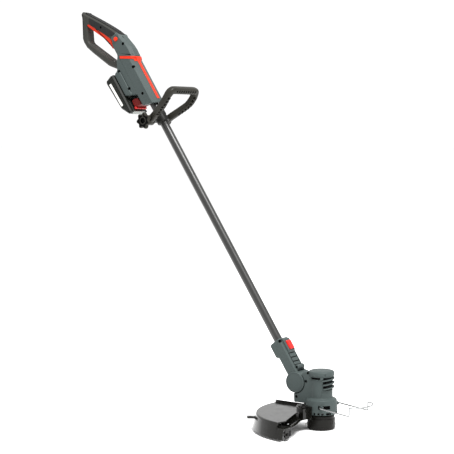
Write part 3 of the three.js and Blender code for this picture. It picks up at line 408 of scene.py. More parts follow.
class Nodes:
    """Short calls for a material's node tree."""

    def __init__(self, name):
        self.material = bpy.data.materials.new(name)
        self.material.use_nodes = True
        self.tree = self.material.node_tree
        self.shader = self.tree.nodes["Principled BSDF"]
        self.coords = self.tree.nodes.new("ShaderNodeTexCoord").outputs["Object"]

    def node(self, kind, inputs=(), **settings):
        node = self.tree.nodes.new(kind)
        for key, value in settings.items():
            setattr(node, key, value)
        for key, value in dict(inputs).items():
            self.feed(node.inputs[key], value)
        return node

    def feed(self, socket, value):
        """Links a socket, or sets its value."""
        if isinstance(value, bpy.types.NodeSocket):
            self.tree.links.new(value, socket)
        else:
            socket.default_value = value

    def noise(self, scale, detail=3, rough=0.5, vector=None, distortion=0.0):
        return self.node("ShaderNodeTexNoise", {
            "Vector": vector or self.coords, "Scale": scale, "Detail": detail, "Roughness": rough,
            "Distortion": distortion}).outputs["Fac"]

    def ranged(self, value, low, high, to_low, to_high):
        return self.node("ShaderNodeMapRange", {
            "Value": value, "From Min": low, "From Max": high, "To Min": to_low, "To Max": to_high,
        }).outputs["Result"]

    def stretched(self, scale, rotation=(0, 0, 0)):
        return self.node("ShaderNodeMapping", {
            "Vector": self.coords, "Scale": scale, "Rotation": rotation}).outputs["Vector"]

    def blended(self, factor, a, b):
        """Two colours mixed. The sockets go by number, because their names repeat."""
        node = self.node("ShaderNodeMix", data_type="RGBA")
        for key, value in ((0, factor), (6, a), (7, b)):
            self.feed(node.inputs[key], value)
        return node.outputs[2]

    def maths(self, operation, *values):
        return self.node("ShaderNodeMath", dict(enumerate(values)), operation=operation).outputs[0]

    def to(self, socket, value):
        self.feed(self.shader.inputs[socket], value)

    def worn_edges(self, radius):
        """1 on an outer or inner edge, 0 on a flat face."""
        soft = self.node("ShaderNodeBevel", {"Radius": radius}, samples=4).outputs["Normal"]
        true = self.node("ShaderNodeNewGeometry").outputs["Normal"]
        match = self.node("ShaderNodeVectorMath", {0: soft, 1: true}, operation="DOT_PRODUCT")
        return self.ranged(match.outputs["Value"], 0.995, 0.8, 0, 1)

    def bumps(self, *layers, edge=None):
        """Layers of (height, strength, distance), over edges softened by a radius."""
        normal = None
        if edge:
            normal = self.node("ShaderNodeBevel", {"Radius": edge}, samples=4).outputs["Normal"]
        for height, strength, distance in layers:
            inputs = {"Height": height, "Strength": strength, "Distance": distance}
            if normal is not None:
                inputs["Normal"] = normal
            normal = self.node("ShaderNodeBump", inputs).outputs["Normal"]
        self.to("Normal", normal)


def colour(hexa, gain=1.0):
    """A screen colour as linear RGBA."""
    parts = [int(hexa[i:i + 2], 16) / 255 for i in (0, 2, 4)]
    linear = [c / 12.92 if c < 0.04045 else ((c + 0.055) / 1.055) ** 2.4 for c in parts]
    return (*(min(1, c * gain) for c in linear), 1)


def plastic(name, base, rough, grain=900, depth=0.00012, vary=0.12, gloss=0.16, coat=0.0, wear=0.35):
    """Moulded plastic: an eroded grain, faint flow marks, and paler worn edges."""
    n = Nodes(name)
    cloud = n.noise(14, 4, 0.6)
    flow = n.noise(60, 3, 0.55, distortion=0.6)
    fine = n.noise(grain, 2, 0.7)
    darker = n.blended(n.ranged(cloud, 0.3, 0.7, 0, 1), colour(base, 1 - vary), colour(base, 1 + vary))
    speckle = n.blended(n.ranged(fine, 0.35, 0.75, 0, 0.35), darker, colour(base, 1.55))
    rubbed = n.ranged(n.noise(150, 3), 0.35, 0.7, wear * 0.4, wear)
    worn = n.maths("MULTIPLY", n.worn_edges(SOFT_EDGE * 1.6), rubbed)
    n.to("Base Color", n.blended(worn, speckle, colour(base, 2.4)))
    n.to("Roughness", n.maths("ADD", n.ranged(flow, 0.3, 0.7, rough - 0.05, rough + 0.05),
                              n.ranged(fine, 0.3, 0.7, -0.03, 0.03)))
    n.to("Specular IOR Level", gloss)
    if coat:
        n.to("Coat Weight", coat)
        n.to("Coat Roughness", 0.12)
    n.bumps((fine, 0.35, depth), (n.noise(110, 2), 0.12, 0.0006), edge=SOFT_EDGE)
    return n.material


def rubber(name, base, rough=0.72):
    """Soft overmould: a fine leathery stipple with a dusty sheen."""
    n = Nodes(name)
    cells = n.node("ShaderNodeTexVoronoi", {"Vector": n.coords, "Scale": 620.0}).outputs["Distance"]
    cloud = n.noise(22, 4, 0.6)
    dust = n.noise(240, 4, 0.65)
    tone = n.blended(n.ranged(cloud, 0.3, 0.7, 0, 1), colour(base, 0.85), colour(base, 1.2))
    n.to("Base Color", n.blended(n.ranged(dust, 0.5, 0.75, 0, 0.3), tone, colour(base, 2.2)))
    n.to("Roughness", n.ranged(dust, 0.3, 0.7, rough - 0.07, rough + 0.08))
    n.to("Specular IOR Level", 0.1)
    n.to("Sheen Weight", 0.03)
    n.to("Sheen Roughness", 0.4)
    n.bumps((cells, 0.5, 0.00025), (dust, 0.15, 0.0002), edge=0.0007)
    return n.material


def metal(name, base, rough, brushed=(1, 1, 1)):
    """Drawn or turned metal with fine lines along its length, and light tarnish."""
    n = Nodes(name)
    lines = n.noise(420, 3, 0.6, vector=n.stretched(brushed))
    tarnish = n.noise(38, 4, 0.6)
    n.to("Base Color", n.blended(n.ranged(tarnish, 0.4, 0.75, 0, 0.7), colour(base), colour(base, 0.62)))
    n.to("Metallic", 1.0)
    n.to("Roughness", n.maths("ADD", n.ranged(lines, 0.3, 0.7, rough - 0.05, rough + 0.08),
                              n.ranged(tarnish, 0.3, 0.8, 0, 0.1)))
    n.bumps((lines, 0.2, 0.00008), edge=0.0003)
    return n.material


def painted(name, base, rough):
    """Powder coat on a tube: slight orange peel, rubbed paler along its length."""
    n = Nodes(name)
    peel = n.noise(520, 2, 0.5)
    rubbed = n.noise(30, 5, 0.65, vector=n.stretched((1, 1, 0.25), (0, LEAN, 0)))
    n.to("Base Color", n.blended(n.ranged(rubbed, 0.35, 0.75, 0, 0.5), colour(base, 0.85), colour(base, 1.7)))
    n.to("Roughness", n.ranged(rubbed, 0.3, 0.7, rough - 0.05, rough + 0.07))
    n.to("Specular IOR Level", 0.55)
    n.to("Coat Weight", 0.25)
    n.to("Coat Roughness", 0.25)
    n.bumps((peel, 0.12, 0.00012))
    return n.material


HOUSING = plastic("housing_plastic", "3d4544", 0.5, vary=0.08)
HOUSING_DARK = plastic("loop_plastic", "30302d", 0.55, vary=0.1)
GRIP = rubber("grip_rubber", "242424")
SPINE = rubber("spine_rubber", "131313", 0.6)
ORANGE = plastic("orange_plastic", "c02e16", 0.4, grain=600, vary=0.06, coat=0.05, wear=0.1)
RED = plastic("red_plastic", "b81a15", 0.3, grain=300, vary=0.05, coat=0.15, wear=0.08)
# A darker copy of the latch red: painted shade for the latch's recessed web
RED_PAINTED_SHADE = plastic("latch_painted_shade_plastic", "5e1512", 0.5, grain=300, vary=0.08, wear=0.05)
BLACK = plastic("black_plastic", "181816", 0.45, vary=0.15, wear=0.3)
BATTERY = plastic("battery_plastic", "181a17", 0.4, vary=0.15, wear=0.4)
ARM = plastic("arm_plastic", "24231e", 0.42, vary=0.15, wear=0.3)
GUARD = plastic("guard_plastic", "12120f", 0.17, grain=260, depth=0.00006, vary=0.15, gloss=0.25, coat=0.08,
                wear=0.2)
SPOOL = plastic("spool_plastic", "13120f", 0.36, vary=0.15, wear=0.3)
TUBE = painted("tube_coat", "181816", 0.34)
LABEL = plastic("label_film", "dcdcd6", 0.42, grain=700, vary=0.04, wear=0.0)
END_GREY = plastic("end_plastic", "8d918d", 0.45, vary=0.06, wear=0.2)
STEEL = metal("bright_wire", "a4a6a6", 0.24, (1, 0.2, 1))
DARK_STEEL = metal("black_steel", "1d1d1e", 0.42)
# Near-black painted shade for the insides of holes, vents, gaps and recesses
RECESS_SHADE = plastic("recess_painted_shade", "070707", 0.6, gloss=0.03, wear=0.0)
COPPER = metal("contact_copper", "b8743c", 0.32)
LINE = plastic("nylon_line", "c9c6bc", 0.4, grain=1200, vary=0.05, wear=0.0)
BOARD = plastic("solder_mask", "1c5a35", 0.4, grain=1500, vary=0.15, wear=0.0)
WRAP = plastic("cell_sleeve", "2f6ea3", 0.3, grain=800, vary=0.08, coat=0.3, wear=0.0)

CAD_LOOKS = {
    "housing": HOUSING, "soft_grip": GRIP, "orange_trim": ORANGE, "red_button": RED, "black_plastic": BLACK,
    "guard_plastic": GUARD, "tube_finish": TUBE, "bright_steel": STEEL, "dark_steel": DARK_STEEL,
    "circuit_board": BOARD, "contacts": COPPER, "cell_wrap": WRAP, "nylon_line": LINE,
}
OWN_LOOKS = {
    # The clamp bolt, down in the knob's well, is painted with the recess shade
    "clamp_bolt": RECESS_SHADE, "motor_can": DARK_STEEL, "cooling_fan": DARK_STEEL, "motor_plate": DARK_STEEL,
    "line_cutter": DARK_STEEL,
}
for part in frame["record"]["subparts"]:
    node = nodes[part["node"]]
    node.data.materials.clear()
    node.data.materials.append(OWN_LOOKS.get(part["node"], CAD_LOOKS[part["material_slot"]]))

# ---------------- rear handle
BODY_TOP = 138
REAR_CORNER = (-52, BODY_TOP + 197)
NOSE_TIP = (26.5, BODY_TOP + 29)
FORE_END = (25, BODY_TOP + 6)
TOP_CURVE = [(p.x, p.y) for p in smooth([
    (*REAR_CORNER, 0), (-34.7, 308, 0), (-18, 281, 0), (0, 250, 0), (11.3, 227, 0), (20, 200, 0),
    (25, 176, 0), (*NOSE_TIP, 0)], 4)][1:]
LOOP = [
    (*REAR_CORNER, 6), *((x, z, 0) for x, z in TOP_CURVE), (*FORE_END, 2), (-6, 152), (-6, 118), (-36, 118),
    (-38, 139), (-47, 151), (-63, 171, 18), (-90, 232, 18), (-99, 256), (-100, 274), (-98, 284, 12),
    (-70, 330, 12), (-66, 342, 5), (-57, 345, 5),
]
FINGER_HOLE = [
    (-24, 168), (-24, 204), (-17, 221), (-29, 247), (-61, 305), (-66, 298), (-83, 266), (-82, 257),
    (-49, 186), (-41, 172),
]
BODY = [
    (20, 0, 2), (20, 138, 1), (-12, 161, 2), (-26, 162), (-38, 140), (-45, 136), (-51, 130), (-51, 66),
    (-45, 62), (-18, 48, 3), (-18, 14, 3),
]
FOOT = [(-51, 66), (-45, 62), (-29, 53), (-29, 130), (-45, 136), (-51, 130)]
NOSE = [
    (*FORE_END, 1), (*NOSE_TIP, 1), (25, 181), (18, 214, 10), (9, 228, 6), (-9, 228, 6), (-17, 221),
    (-24, 204), (-24, 172, 1), (-12, 171, 1),
]
SEAM = [(-25, 156), (-12, 156), (19, 133), FORE_END, (-12, 175), (-25, 175)]
CHIN = [(14, 112), FORE_END, (14, 153)]
SEAM_BAND = [
    (-12.5, 159.5), (18.3, 138), (18.3, 131), (60, 105), (60, 118.5), (-12.5, 167.5),
]
STRIPE = [(18, 12), (30, 12), (30, 134), (18, 134)]
# The heights of a soft front edge, and how far it stands ahead of the middle
BODY_FRONT = [(0, -10), (0, 130), (0, 137), (2.5, 141)]
NOSE_FRONT = [(-2, 138), (0, 144), (1.5, 167), (0, 181), (-4, 197), (-7, 211), (-5, 230)]
BODY_HALF, NOSE_HALF, SEAM_HALF, CHIN_HALF, LOOP_HALF = 27, 21, 22.5, 17, 16
# Each screw's place, the half width of the housing there, and its recess's depth
SCREWS = [(-27, 271, LOOP_HALF, 4.5), (14, 189, 23.5, 6), (12, 116, BODY_HALF, 6), (-33, 132, BODY_HALF, 6),
          (-29, 75, BODY_HALF, 6), (0, 40, BODY_HALF, 6)]
SCREW_HOLE = 4.0
TRIGGER_PIVOT = (-57, 314)
TRIGGER_PRESS = 3.5
TRIGGER = [
    (-53, 315, 2), (-59, 318, 2), (-62, 313, 2), (-67, 304, 3), (-42, 253, 14), (-33, 233, 12), (-28, 216, 8),
    (-28, 202, 2), (-23, 202, 2), (-19, 216, 8), (-16, 230, 8), (-22, 244, 10),
]
LOCK = (1, 213)


def front_bevel(side, grow, front, half, flat, deep, path):
    """The wedge that slopes a front edge back, along a path of (x, z) places on the front face."""
    ahead, aside = 40, side * 80
    rings = []
    for x, z in path:
        rings.append([(x + front - deep + grow, side * (half + grow), z), (x + front + grow, side * flat, z),
                      (x + front + ahead, side * flat, z), (x + front + ahead, aside, z),
                      (x + front - deep + grow, aside, z)])
    return rings_object(rings)


def envelope(grow):
    """The body, nose and seam together, grown outward."""
    body = plate(inset(rounded(BODY, 3), -grow), edge_profile(BODY_HALF + grow, 2.5, 1.4))
    nose = plate(inset(rounded(NOSE, 4), -grow), edge_profile(NOSE_HALF + grow, 2.5, 1.4))
    seam = plate(inset(rounded(SEAM, 1), -grow), edge_profile(SEAM_HALF + grow, 1.5, 0.8))
    chin = plate(inset(rounded(CHIN, 1), -grow), edge_profile(CHIN_HALF + grow, 1, 0.5))
    whole = join(body, nose, seam, chin)
    cuts = []
    for side in (-1, 1):
        cuts.append(front_bevel(side, grow, 20, BODY_HALF, 9, 7, BODY_FRONT))
        cuts.append(front_bevel(side, grow, 25, 22, 9.5, 6.5, NOSE_FRONT))
    return cut(whole, *cuts)


def turned_about(points, centre, degrees):
    """An outline turned about a centre."""
    c, s = cos(radians(degrees)), sin(radians(degrees))
    cx, cz = centre
    return [(cx + (x - cx) * c - (z - cz) * s, cz + (x - cx) * s + (z - cz) * c) for x, z in points]


def screw_hole(x, z, half, depth, radius=SCREW_HOLE):
    """A round recess that opens on the near face."""
    return rod_y(radius, -half - 12, -half + depth, x, z, 28)


def rear_housing():
    """The handle, with the battery's channel and the room for what moves."""
    loop = soft_plate(LOOP, 6, LOOP_HALF, 5.5, 2.2, 4)
    foot = soft_plate(FOOT, 4, 30, 2.5, 1.2)
    whole = join(loop, envelope(0), foot)
    lip = [(-8, 40), (-6, 17), (-2.6, 15), (0, 11)]
    hole = plate(rounded(FINGER_HOLE, 8, 7), [(d, -y) for d, y in lip] + lip[::-1])
    swept = inset(rounded(TRIGGER, 1), -0.5)
    steps = 6
    sweep_room = [slab(turned_about(swept, TRIGGER_PIVOT, TRIGGER_PRESS * k / steps), -13.4, 13.4)
                  for k in range(steps + 1)]
    rail_back, rail_top = -39.7, 124
    channel = join(block((-80, -19.3, -10), (rail_back, 19.3, rail_top)),
                   block((-47.3, -25.3, -10), (rail_back, 25.3, rail_top)))
    holes = [screw_hole(*place) for place in SCREWS]
    # Small moulding marks on the rear post, the lower arm and the corner
    marks = [rod_y(1.6, -30, -14.5, -94, 270, 16), rod_y(1.8, -30, -13.5, -75, 196, 16),
             rod_y(2.0, -30, -13.5, -62, 334, 16)]
    groove = [(-30, 129), (-28.6, 129), (-28.6, 64), (-30, 64)]
    whole = cut(whole, hole, *sweep_room, channel, *holes, *marks,
                slab(groove, -THROUGH, -26), slab(groove, 26, THROUGH),
                rod_y(6.4, -THROUGH, THROUGH, *LOCK, 40), rod_z(11.3, -5, 70, sides=64))
    bed = join(slab(inset(SEAM_BAND, -0.25), -THROUGH, THROUGH), slab(inset(STRIPE, -0.25), -5.6, 5.6))
    return cut(whole, cut(keep(bed, envelope(0.9)), envelope(-1.6)))


def on_loop(point):
    """The bare loop, which is darker than the body and nose."""
    inside_nose = point.x > -16 - (point.z - 200) * 0.25 and point.z < 232
    return point.z > 139 and abs(point.y) < 16.6 and not inside_nose


# Faces inside the screw holes, which are painted near-black as shade
def in_screw_hole(point):
    return any(in_hole(point, x, z, SCREW_HOLE + 0.3, half - 0.6) for x, z, half, _ in SCREWS)


housing_pair(rear_housing(), "rear_housing", "handle_shell", "handle", HANDLE,
             (HOUSING_DARK, on_loop), (RECESS_SHADE, in_screw_hole))

band = keep(join(slab(SEAM_BAND, -THROUGH, THROUGH), slab(STRIPE, -5.35, 5.35)), envelope(0.8))
band = cut(band, envelope(-1.4))
piece(band, "orange_band", "handle", HANDLE, ORANGE, ["trim_band"])

# Grip: rubber panels let into both sides, and a ribbed spine along the outer edge
PANEL = [(-47, 318), (-36, 300), (-20, 275), (-4, 247), (6, 226), (3, 227), (-9, 231), (-20, 236), (-30, 253),
         (-55, 299)]
SIDES = ((-1, "near"), (1, "far"))
for side, label in SIDES:
    panel = plate(rounded(PANEL, 3), [(0, side * 12), (0, side * 16.2), (0.8, side * 16.8)])
    panel = cut(panel, rod_y(3.6, -THROUGH, THROUGH, *SCREWS[0][:2], 28))
    stands_for = ["grip_overmould"] if label == "near" else []
    piece(panel, f"grip_panel_{label}", "handle", HANDLE, GRIP, stands_for)

spine_line = [(-51, 336), *TOP_CURVE[:19]]
spine_last = len(spine_line) - 1
outer, inner = [], []
for i, point in enumerate(spine_line):
    ahead = Vector(spine_line[min(i + 1, spine_last)]) - Vector(spine_line[max(i - 1, 0)])
    normal = Vector((-ahead.y, ahead.x)).normalized()
    normal = normal if normal.x > 0 else -normal
    outer.append(tuple(Vector(point) + normal * 0.9))
    inner.append(tuple(Vector(point) - normal * 3))
spine = plate(outer + inner[::-1], edge_profile(11.5, 0.8, 0.5))
ribs = []
for point in spine_line[2:-2]:
    here = Vector(point)
    ribs.append(rod_y(0.7, -8, 8, here.x + 1.2, here.y + 0.6, 8))
piece(cut(spine, *ribs), "grip_spine", "handle", HANDLE, SPINE)

trigger = soft_plate(TRIGGER, 2, 13, 2.2, 1.4)
trigger = cut(trigger, rod_y(1.58, -20, 20, *TRIGGER_PIVOT))
piece(trigger, "trigger_lever", "trigger", HANDLE, ORANGE, ["trigger"])

lock = lathe([(0, -24.5), (3.2, -24.5), (5.2, -24), (6, -22.6), (6, 22.6), (5.2, 24), (3.2, 24.5), (0, 24.5)],
             48, "Y", *LOCK)
piece(lock, "lock_off_knob", "lock_off", HANDLE, ORANGE, ["lock_off_button"])

# ---------------- battery
FACE = -51.3
CASE = [(FACE, 16.5, 1), (FACE, 133, 2), (FACE - 9, 135, 3), (-79.3, 131, 5), (-82.3, 125, 5), (-76.5, 42, 5),
        (-62.5, 16.5, 3)]
END_BLOCK = [(-60.3, 16.5), (-49.7, 18), (-49.7, 50), (FACE, 55), (-60.3, 55)]
CASE_HALF = 37
END_HALF = 24
case = join(soft_plate(CASE, 3, CASE_HALF, 4, 2.4, 4),
            soft_plate(END_BLOCK, 0.8, END_HALF, 1, 0.6))
strip = [(-74.5, 116), (-67.5, 116), (-64.5, 45), (-71.5, 45)]
label_frame = rounded([(-79, 121), (-58, 121), (-56, 40), (-72.5, 40)], 2)
cuts = []
for side, _ in SIDES:
    low, high = sorted((side * 36.4, side * 45))
    cuts.append(slab(inset(rounded(strip, 1.5), -0.4), low, high))
    frame_room = slab(inset(label_frame, 0.5), low - 1, high + 1)
    cuts.append(cut(slab(inset(label_frame, -0.5), low, high), frame_room))
for k in range(6):
    cuts.append(block((-85, -22 + k * 8.2, 60), (-78.6, -19.5 + k * 8.2, 112)))
case = cut(case, *cuts)
seam_cut = cut(slab(inset(rounded(CASE, 3), -2), -THROUGH, THROUGH),
               slab(inset(rounded(CASE, 3), 0.7), -36.2, 36.2))
case = cut(case, keep(seam_cut, block((-56.2, -80, 0), (-55.4, 80, 200))))
piece(case, "battery_tub", "battery", HANDLE, BATTERY, ["battery_case"])
tongue = join(block((FACE - 0.5, -18.7, 56.3), (-47, 18.7, 112), 0.5),
              block((-47, -24.7, 56.3), (-40.3, 24.7, 112), 0.5))
tongue = cut(tongue, *[block((-46, s * 9 - 4, 97), (-42.8, s * 9 + 4, 117)) for s in (-1, 1)])
piece(tongue, "battery_tongue", "battery", HANDLE, BATTERY, ["battery_cover"])
for side, label in SIDES:
    film = slab(rounded(strip, 1.2), *sorted((side * 36.3, side * 36.85)))
    piece(film, f"battery_label_{label}", "battery", HANDLE, LABEL)
end_plate = plate(rounded([(-62.5, 15.2), (-50.5, 16.4), (-50.5, 19), (-60, 19)], 0.4),
                  edge_profile(END_HALF, 1, 0.6))
piece(end_plate, "battery_end_plate", "battery", HANDLE, END_GREY)
web = plate(rounded([(-44.2, 25), (-22, 20.5), (-21.6, 28), (-24.5, 41), (-33, 46), (-44.2, 46)], 0.8),
            edge_profile(21.5, 1, 0.7))
bar = plate(rounded([(-46, 20.6), (-40, 19.2), (-40, 25.4), (-45, 27)], 1.2), edge_profile(24.4, 1.4, 1))
grooves = [rod_y(0.7, -19, 19, -46, 22 + 1.8 * k, 10) for k in range(2)]
key = cut(join(web, bar), *grooves)
piece(key, "battery_latch_key", "latch", HANDLE, RED, ["battery_latch"])
# The web above the bar takes the darker red as painted shade of its recess
split_looks(key, HANDLE, RED_PAINTED_SHADE, lambda point: point.x > -39.5 and point.z > 20.4)

# ---------------- shaft
tube_bore, tube_radius = 9.8, 11
tube_foot, tube_top = 36, 888
tube = ring_lathe([(tube_bore, tube_foot), (tube_radius, tube_foot), (tube_radius, tube_top),
                   (tube_bore, tube_top)])
piece(tube, "shaft_tube_coated", "handle", SHAFT, TUBE, ["shaft_tube"])

# ---------------- assist handle
BOLT_X = -15.5
BOLT_HOLE = 3.3
collar_half = [(0, 15), (15.3, 15), (16.5, 13.8), (16.5, 4), (15.6, 3.4)]
collar = lathe([(r, -z) for r, z in collar_half] + collar_half[::-1], 80)
ears = join(rod_y(5.8, -24, 24, BOLT_X, 0, 40, 0.6), block((BOLT_X, -24, -5.8), (0, 24, 5.8), 0.6))
split = block((-THROUGH, -1, -THROUGH), (0, 1, THROUGH))
flutes = [block((8, y - 0.5, -9), (30, y + 0.5, 9)) for y in (-6, 0, 6)]
clamp = cut(join(collar, ears), rod_z(11.35, -THROUGH, THROUGH, sides=80),
            rod_y(BOLT_HOLE, -THROUGH, THROUGH, BOLT_X, 0), split, *flutes)
piece(clamp, "clamp_collar", "clamp", ASSIST, BLACK, ["handle_clamp"])

BAR_X = 99.6
BAR_HALF = 9.6


def mirrored(points):
    """A path's mirror image across Y = 0, from its end back to its start."""
    return [Vector((p.x, -p.y, p.z)) for p in reversed(points)]


def squarish(radius, sides=36, power=0.72):
    """A circle drawn out towards its corners."""
    section = []
    for k in range(sides):
        a = 2 * pi * (k + 0.5) / sides
        section.append([copysign(abs(n) ** power, n) * radius for n in (cos(a), sin(a))])
    return section


half_bow = smooth([
    (BOLT_X, 36, 0), (-6, 38, -0.2), (8, 40, 0.2), (34, 48.5, 1), (58, 56.5, 3.2), (78, 58.6, 9.5),
    (90, 57.2, 15.4), (97, 52.5, 18.4), (99.3, 44, 19), (BAR_X, 26, 19)], 7)
bow = sweep(half_bow + mirrored(half_bow), squarish(BAR_HALF))
eyes = [rod_y(12, -48.5, -24.3, BOLT_X, 0, 56, 1.4), rod_y(12, 24.3, 48.5, BOLT_X, 0, 56, 1.4)]
POCKET = 3.1
POCKET_ROWS = (-4.4, 4.4)
pockets = []
for k in range(9):
    y = -40 + 10 * k
    for aside in POCKET_ROWS:
        x = BAR_X + aside
        pockets.append(block((x - POCKET, y - POCKET, -2), (x + POCKET, y + POCKET, 14.5), 0.6))
# The arms' own rows of pockets follow their bow and their rise
arm_heights = (1, 1.6, 2.5, 3.6, 6, 9.4, 13)
for side, _ in SIDES:
    for k, height in enumerate(arm_heights):
        here = Vector((28 + 9.6 * k, side * (47 + 3.2 * min(k, 3.2)), height))
        for aside in POCKET_ROWS:
            hole = block((-POCKET, -POCKET, -20), (POCKET, POCKET, -4.2), 0.6)
            transform(hole, Matrix.Rotation(side * radians(18 - 3 * k), 4, "Z"))
            pockets.append(moved(hole, *(here + Vector((-0.3 * side * aside, aside, 0)))))
bow = join(bow, *eyes)
bow = cut(bow, *pockets)
bow = cut(bow, rod_y(BOLT_HOLE, -80, 80, BOLT_X, 0), rod_y(6.6, 43.5, 80, BOLT_X, 0, 6),
          block((-80, -24.3, -80), (17.5, 24.3, 80)))
piece(bow, "loop_handle", "assist", ASSIST, ARM, ["assist_handle"])

LOBES = 7
LOBE_LOW, LOBE_RISE = 17.2, 4.8
KNOB_WELL = 7.6
lobe_points = LOBES * 24
lobes = []
for k in range(lobe_points):
    a = 2 * pi * k / lobe_points
    swell = 0.5 + 0.5 * cos(LOBES * a)
    radius = LOBE_LOW + LOBE_RISE * swell ** 0.8
    lobes.append((BOLT_X + radius * cos(a), radius * sin(a)))
knob = plate(lobes, [(4.6, -49.1), (3.4, -50.2), (3.2, -52), (1.2, -53.2), (0.3, -54.2), (0, -55.6), (0, -61),
                     (0.5, -62.8), (1.6, -63.8), (3, -64.1)])
knob = cut(knob, rod_y(KNOB_WELL, -70, -57.1, BOLT_X, 0, 40), rod_y(BOLT_HOLE, -100, 0, BOLT_X, 0))
well_rim = cut(rod_y(10, -64.6, -62, BOLT_X, 0, 48, 0.4), rod_y(KNOB_WELL, -70, -57, BOLT_X, 0, 40))
knob = join(knob, well_rim)
piece(knob, "star_knob", "knob", ASSIST, ARM, ["clamp_knob"])
# The knob's well is painted near-black as shade
split_looks(knob, ASSIST, RECESS_SHADE, lambda point: in_hole(point, BOLT_X, 0, KNOB_WELL + 0.3, 64.4))

# ---------------- coupling
BLOCK = [(13.5, 116), (17.5, 111), (17.5, 10), (0, -8), (-11, 10), (-11, 72), (-18, 78), (-18, 109),
         (-14, 113)]
POD = [(0, 72), (19, 72), (23.5, 77), (23.5, 108), (19.5, 112), (0, 112)]
UPPER_SCREW, LOWER_SCREW = (15, 108), (19.5, 31)
BLOCK_HALF, TAB_HALF = 22, 15
DISC = 26
PIN_HOLE = 5.3


def coupling():
    """The block on the tube's end, and the disc that the head turns on."""
    whole = join(
        soft_plate(BLOCK, 2.5, BLOCK_HALF, 2.4, 1.5, 4),
        soft_plate(POD, 2, TAB_HALF, 2, 1.4),
        rod_y(DISC, -26, 26, 0, 0, 112, 1.3), rod_y(6, -TAB_HALF, TAB_HALF, *LOWER_SCREW, 40, 1),
        block((0, -TAB_HALF, 25), (LOWER_SCREW[0], TAB_HALF, 37), 0.8))
    pads = [block((10, -14.5, low), (18.7, 14.5, high), 1.1)
            for low, high in ((60.5, 70), (49, 58), (38.5, 46.5))]
    ridges = [block((-12.4, -13, z - 1.4), (-8, 13, z + 1.4), 0.6) for z in (63, 51.5, 40)]
    whole = join(whole, *pads, *ridges)
    circles = [cut(rod_y(22.4, *sorted((side * 25.5, side * 27)), 0, 0, 96),
                   rod_y(21.6, *sorted((side * 24, side * 28)), 0, 0, 96)) for side, _ in SIDES]
    return cut(whole,
               rod_z(11.3, 35.7, 200, sides=64), ring_lathe([(4, 84), (15.2, 84), (15.2, 99), (4, 99)], 64),
               block((15.1, -10.9, 78.6), (80, 10.9, 103.4)),
               rod_y(29.4, -15.3, 15.3, 0, 0, 96), block((-THROUGH, -15.3, -THROUGH), (THROUGH, 15.3, 0)),
               rod_y(PIN_HOLE, -22, 22, 0, 0), *circles,
               screw_hole(*UPPER_SCREW, BLOCK_HALF, 5), screw_hole(*LOWER_SCREW, TAB_HALF, 4, 3))


# Faces inside the coupling's screw holes, which are painted near-black as shade
def in_coupling_hole(point):
    return in_hole(point, *UPPER_SCREW, 4.3, 21.4) or in_hole(point, *LOWER_SCREW, 3.3, 14.6)


housing_pair(coupling(), "coupling", "coupling_shell", "coupling", SHAFT, (RECESS_SHADE, in_coupling_hole))
# Near-black strips in the gaps round the pads: painted shade of the recesses
gap_shade_rungs = [block((16.6, -14, z - 0.9), (18.1, 14, z + 0.9), 0.3) for z in (71.2, 59.2, 47.6, 37.8)]
gap_shade_rails = [block((16.6, side * 14.7 - 0.8, 37.2), (18.1, side * 14.7 + 0.8, 71.9), 0.3) for side in (-1, 1)]
piece(join(*gap_shade_rungs, *gap_shade_rails), "coupling_pad_gap_shade", "coupling", SHAFT, RECESS_SHADE)
button = plate(rounded([(19, 79), (26.4, 79), (27, 81), (27, 101), (26.4, 103), (19, 103)], 1.2),
               edge_profile(10.5, 1.5, 1.2, 4))
piece(button, "turn_key", "turn_button", SHAFT, RED, ["rotation_button"])

# ---------------- motor head
HINGE = (-62.4, 112.1)
HINGE_ROOM = 28.2
WIRE_PIVOT = (22, 58.6)
CAP_SEAT = 132.7
# Each screw's place and hole, and the half width of its look
HEAD_SCREWS = [(-25, 138.4, 3.3, -15.4, 22.8), (-31, 117.5, 3.8, -18, 23.4), (-58, 76.5, 3.6, -18, 23.4)]
# Each vent's middle and width, in degrees round the barrel
VENTS = [(-85, 6.5), (-70, 7), (-56, 7.5), (-34, 19), (5, 19), (34, 19), (56, 7.5), (70, 7), (85, 6.5),
         (110, 7)]
NECK = [(0, 62), (0, 141), (-22, 143), (-38.4, 139.5), (-62.4, 112.1), (-67, 92.1), (-66, 62)]


def sector(radius_in, radius_out, start, end, low, high, steps=24, rise=0.0):
    """A block bent round the spool's axis, which may climb along its length."""
    section = ((radius_in, low), (radius_out, low), (radius_out, high), (radius_in, high))
    rings = []
    for k in range(steps + 1):
        t = k / steps
        a = radians(start + (end - start) * t)
        rings.append([(r * cos(a), r * sin(a), z + rise * t) for r, z in section])
    return rings_object(rings)


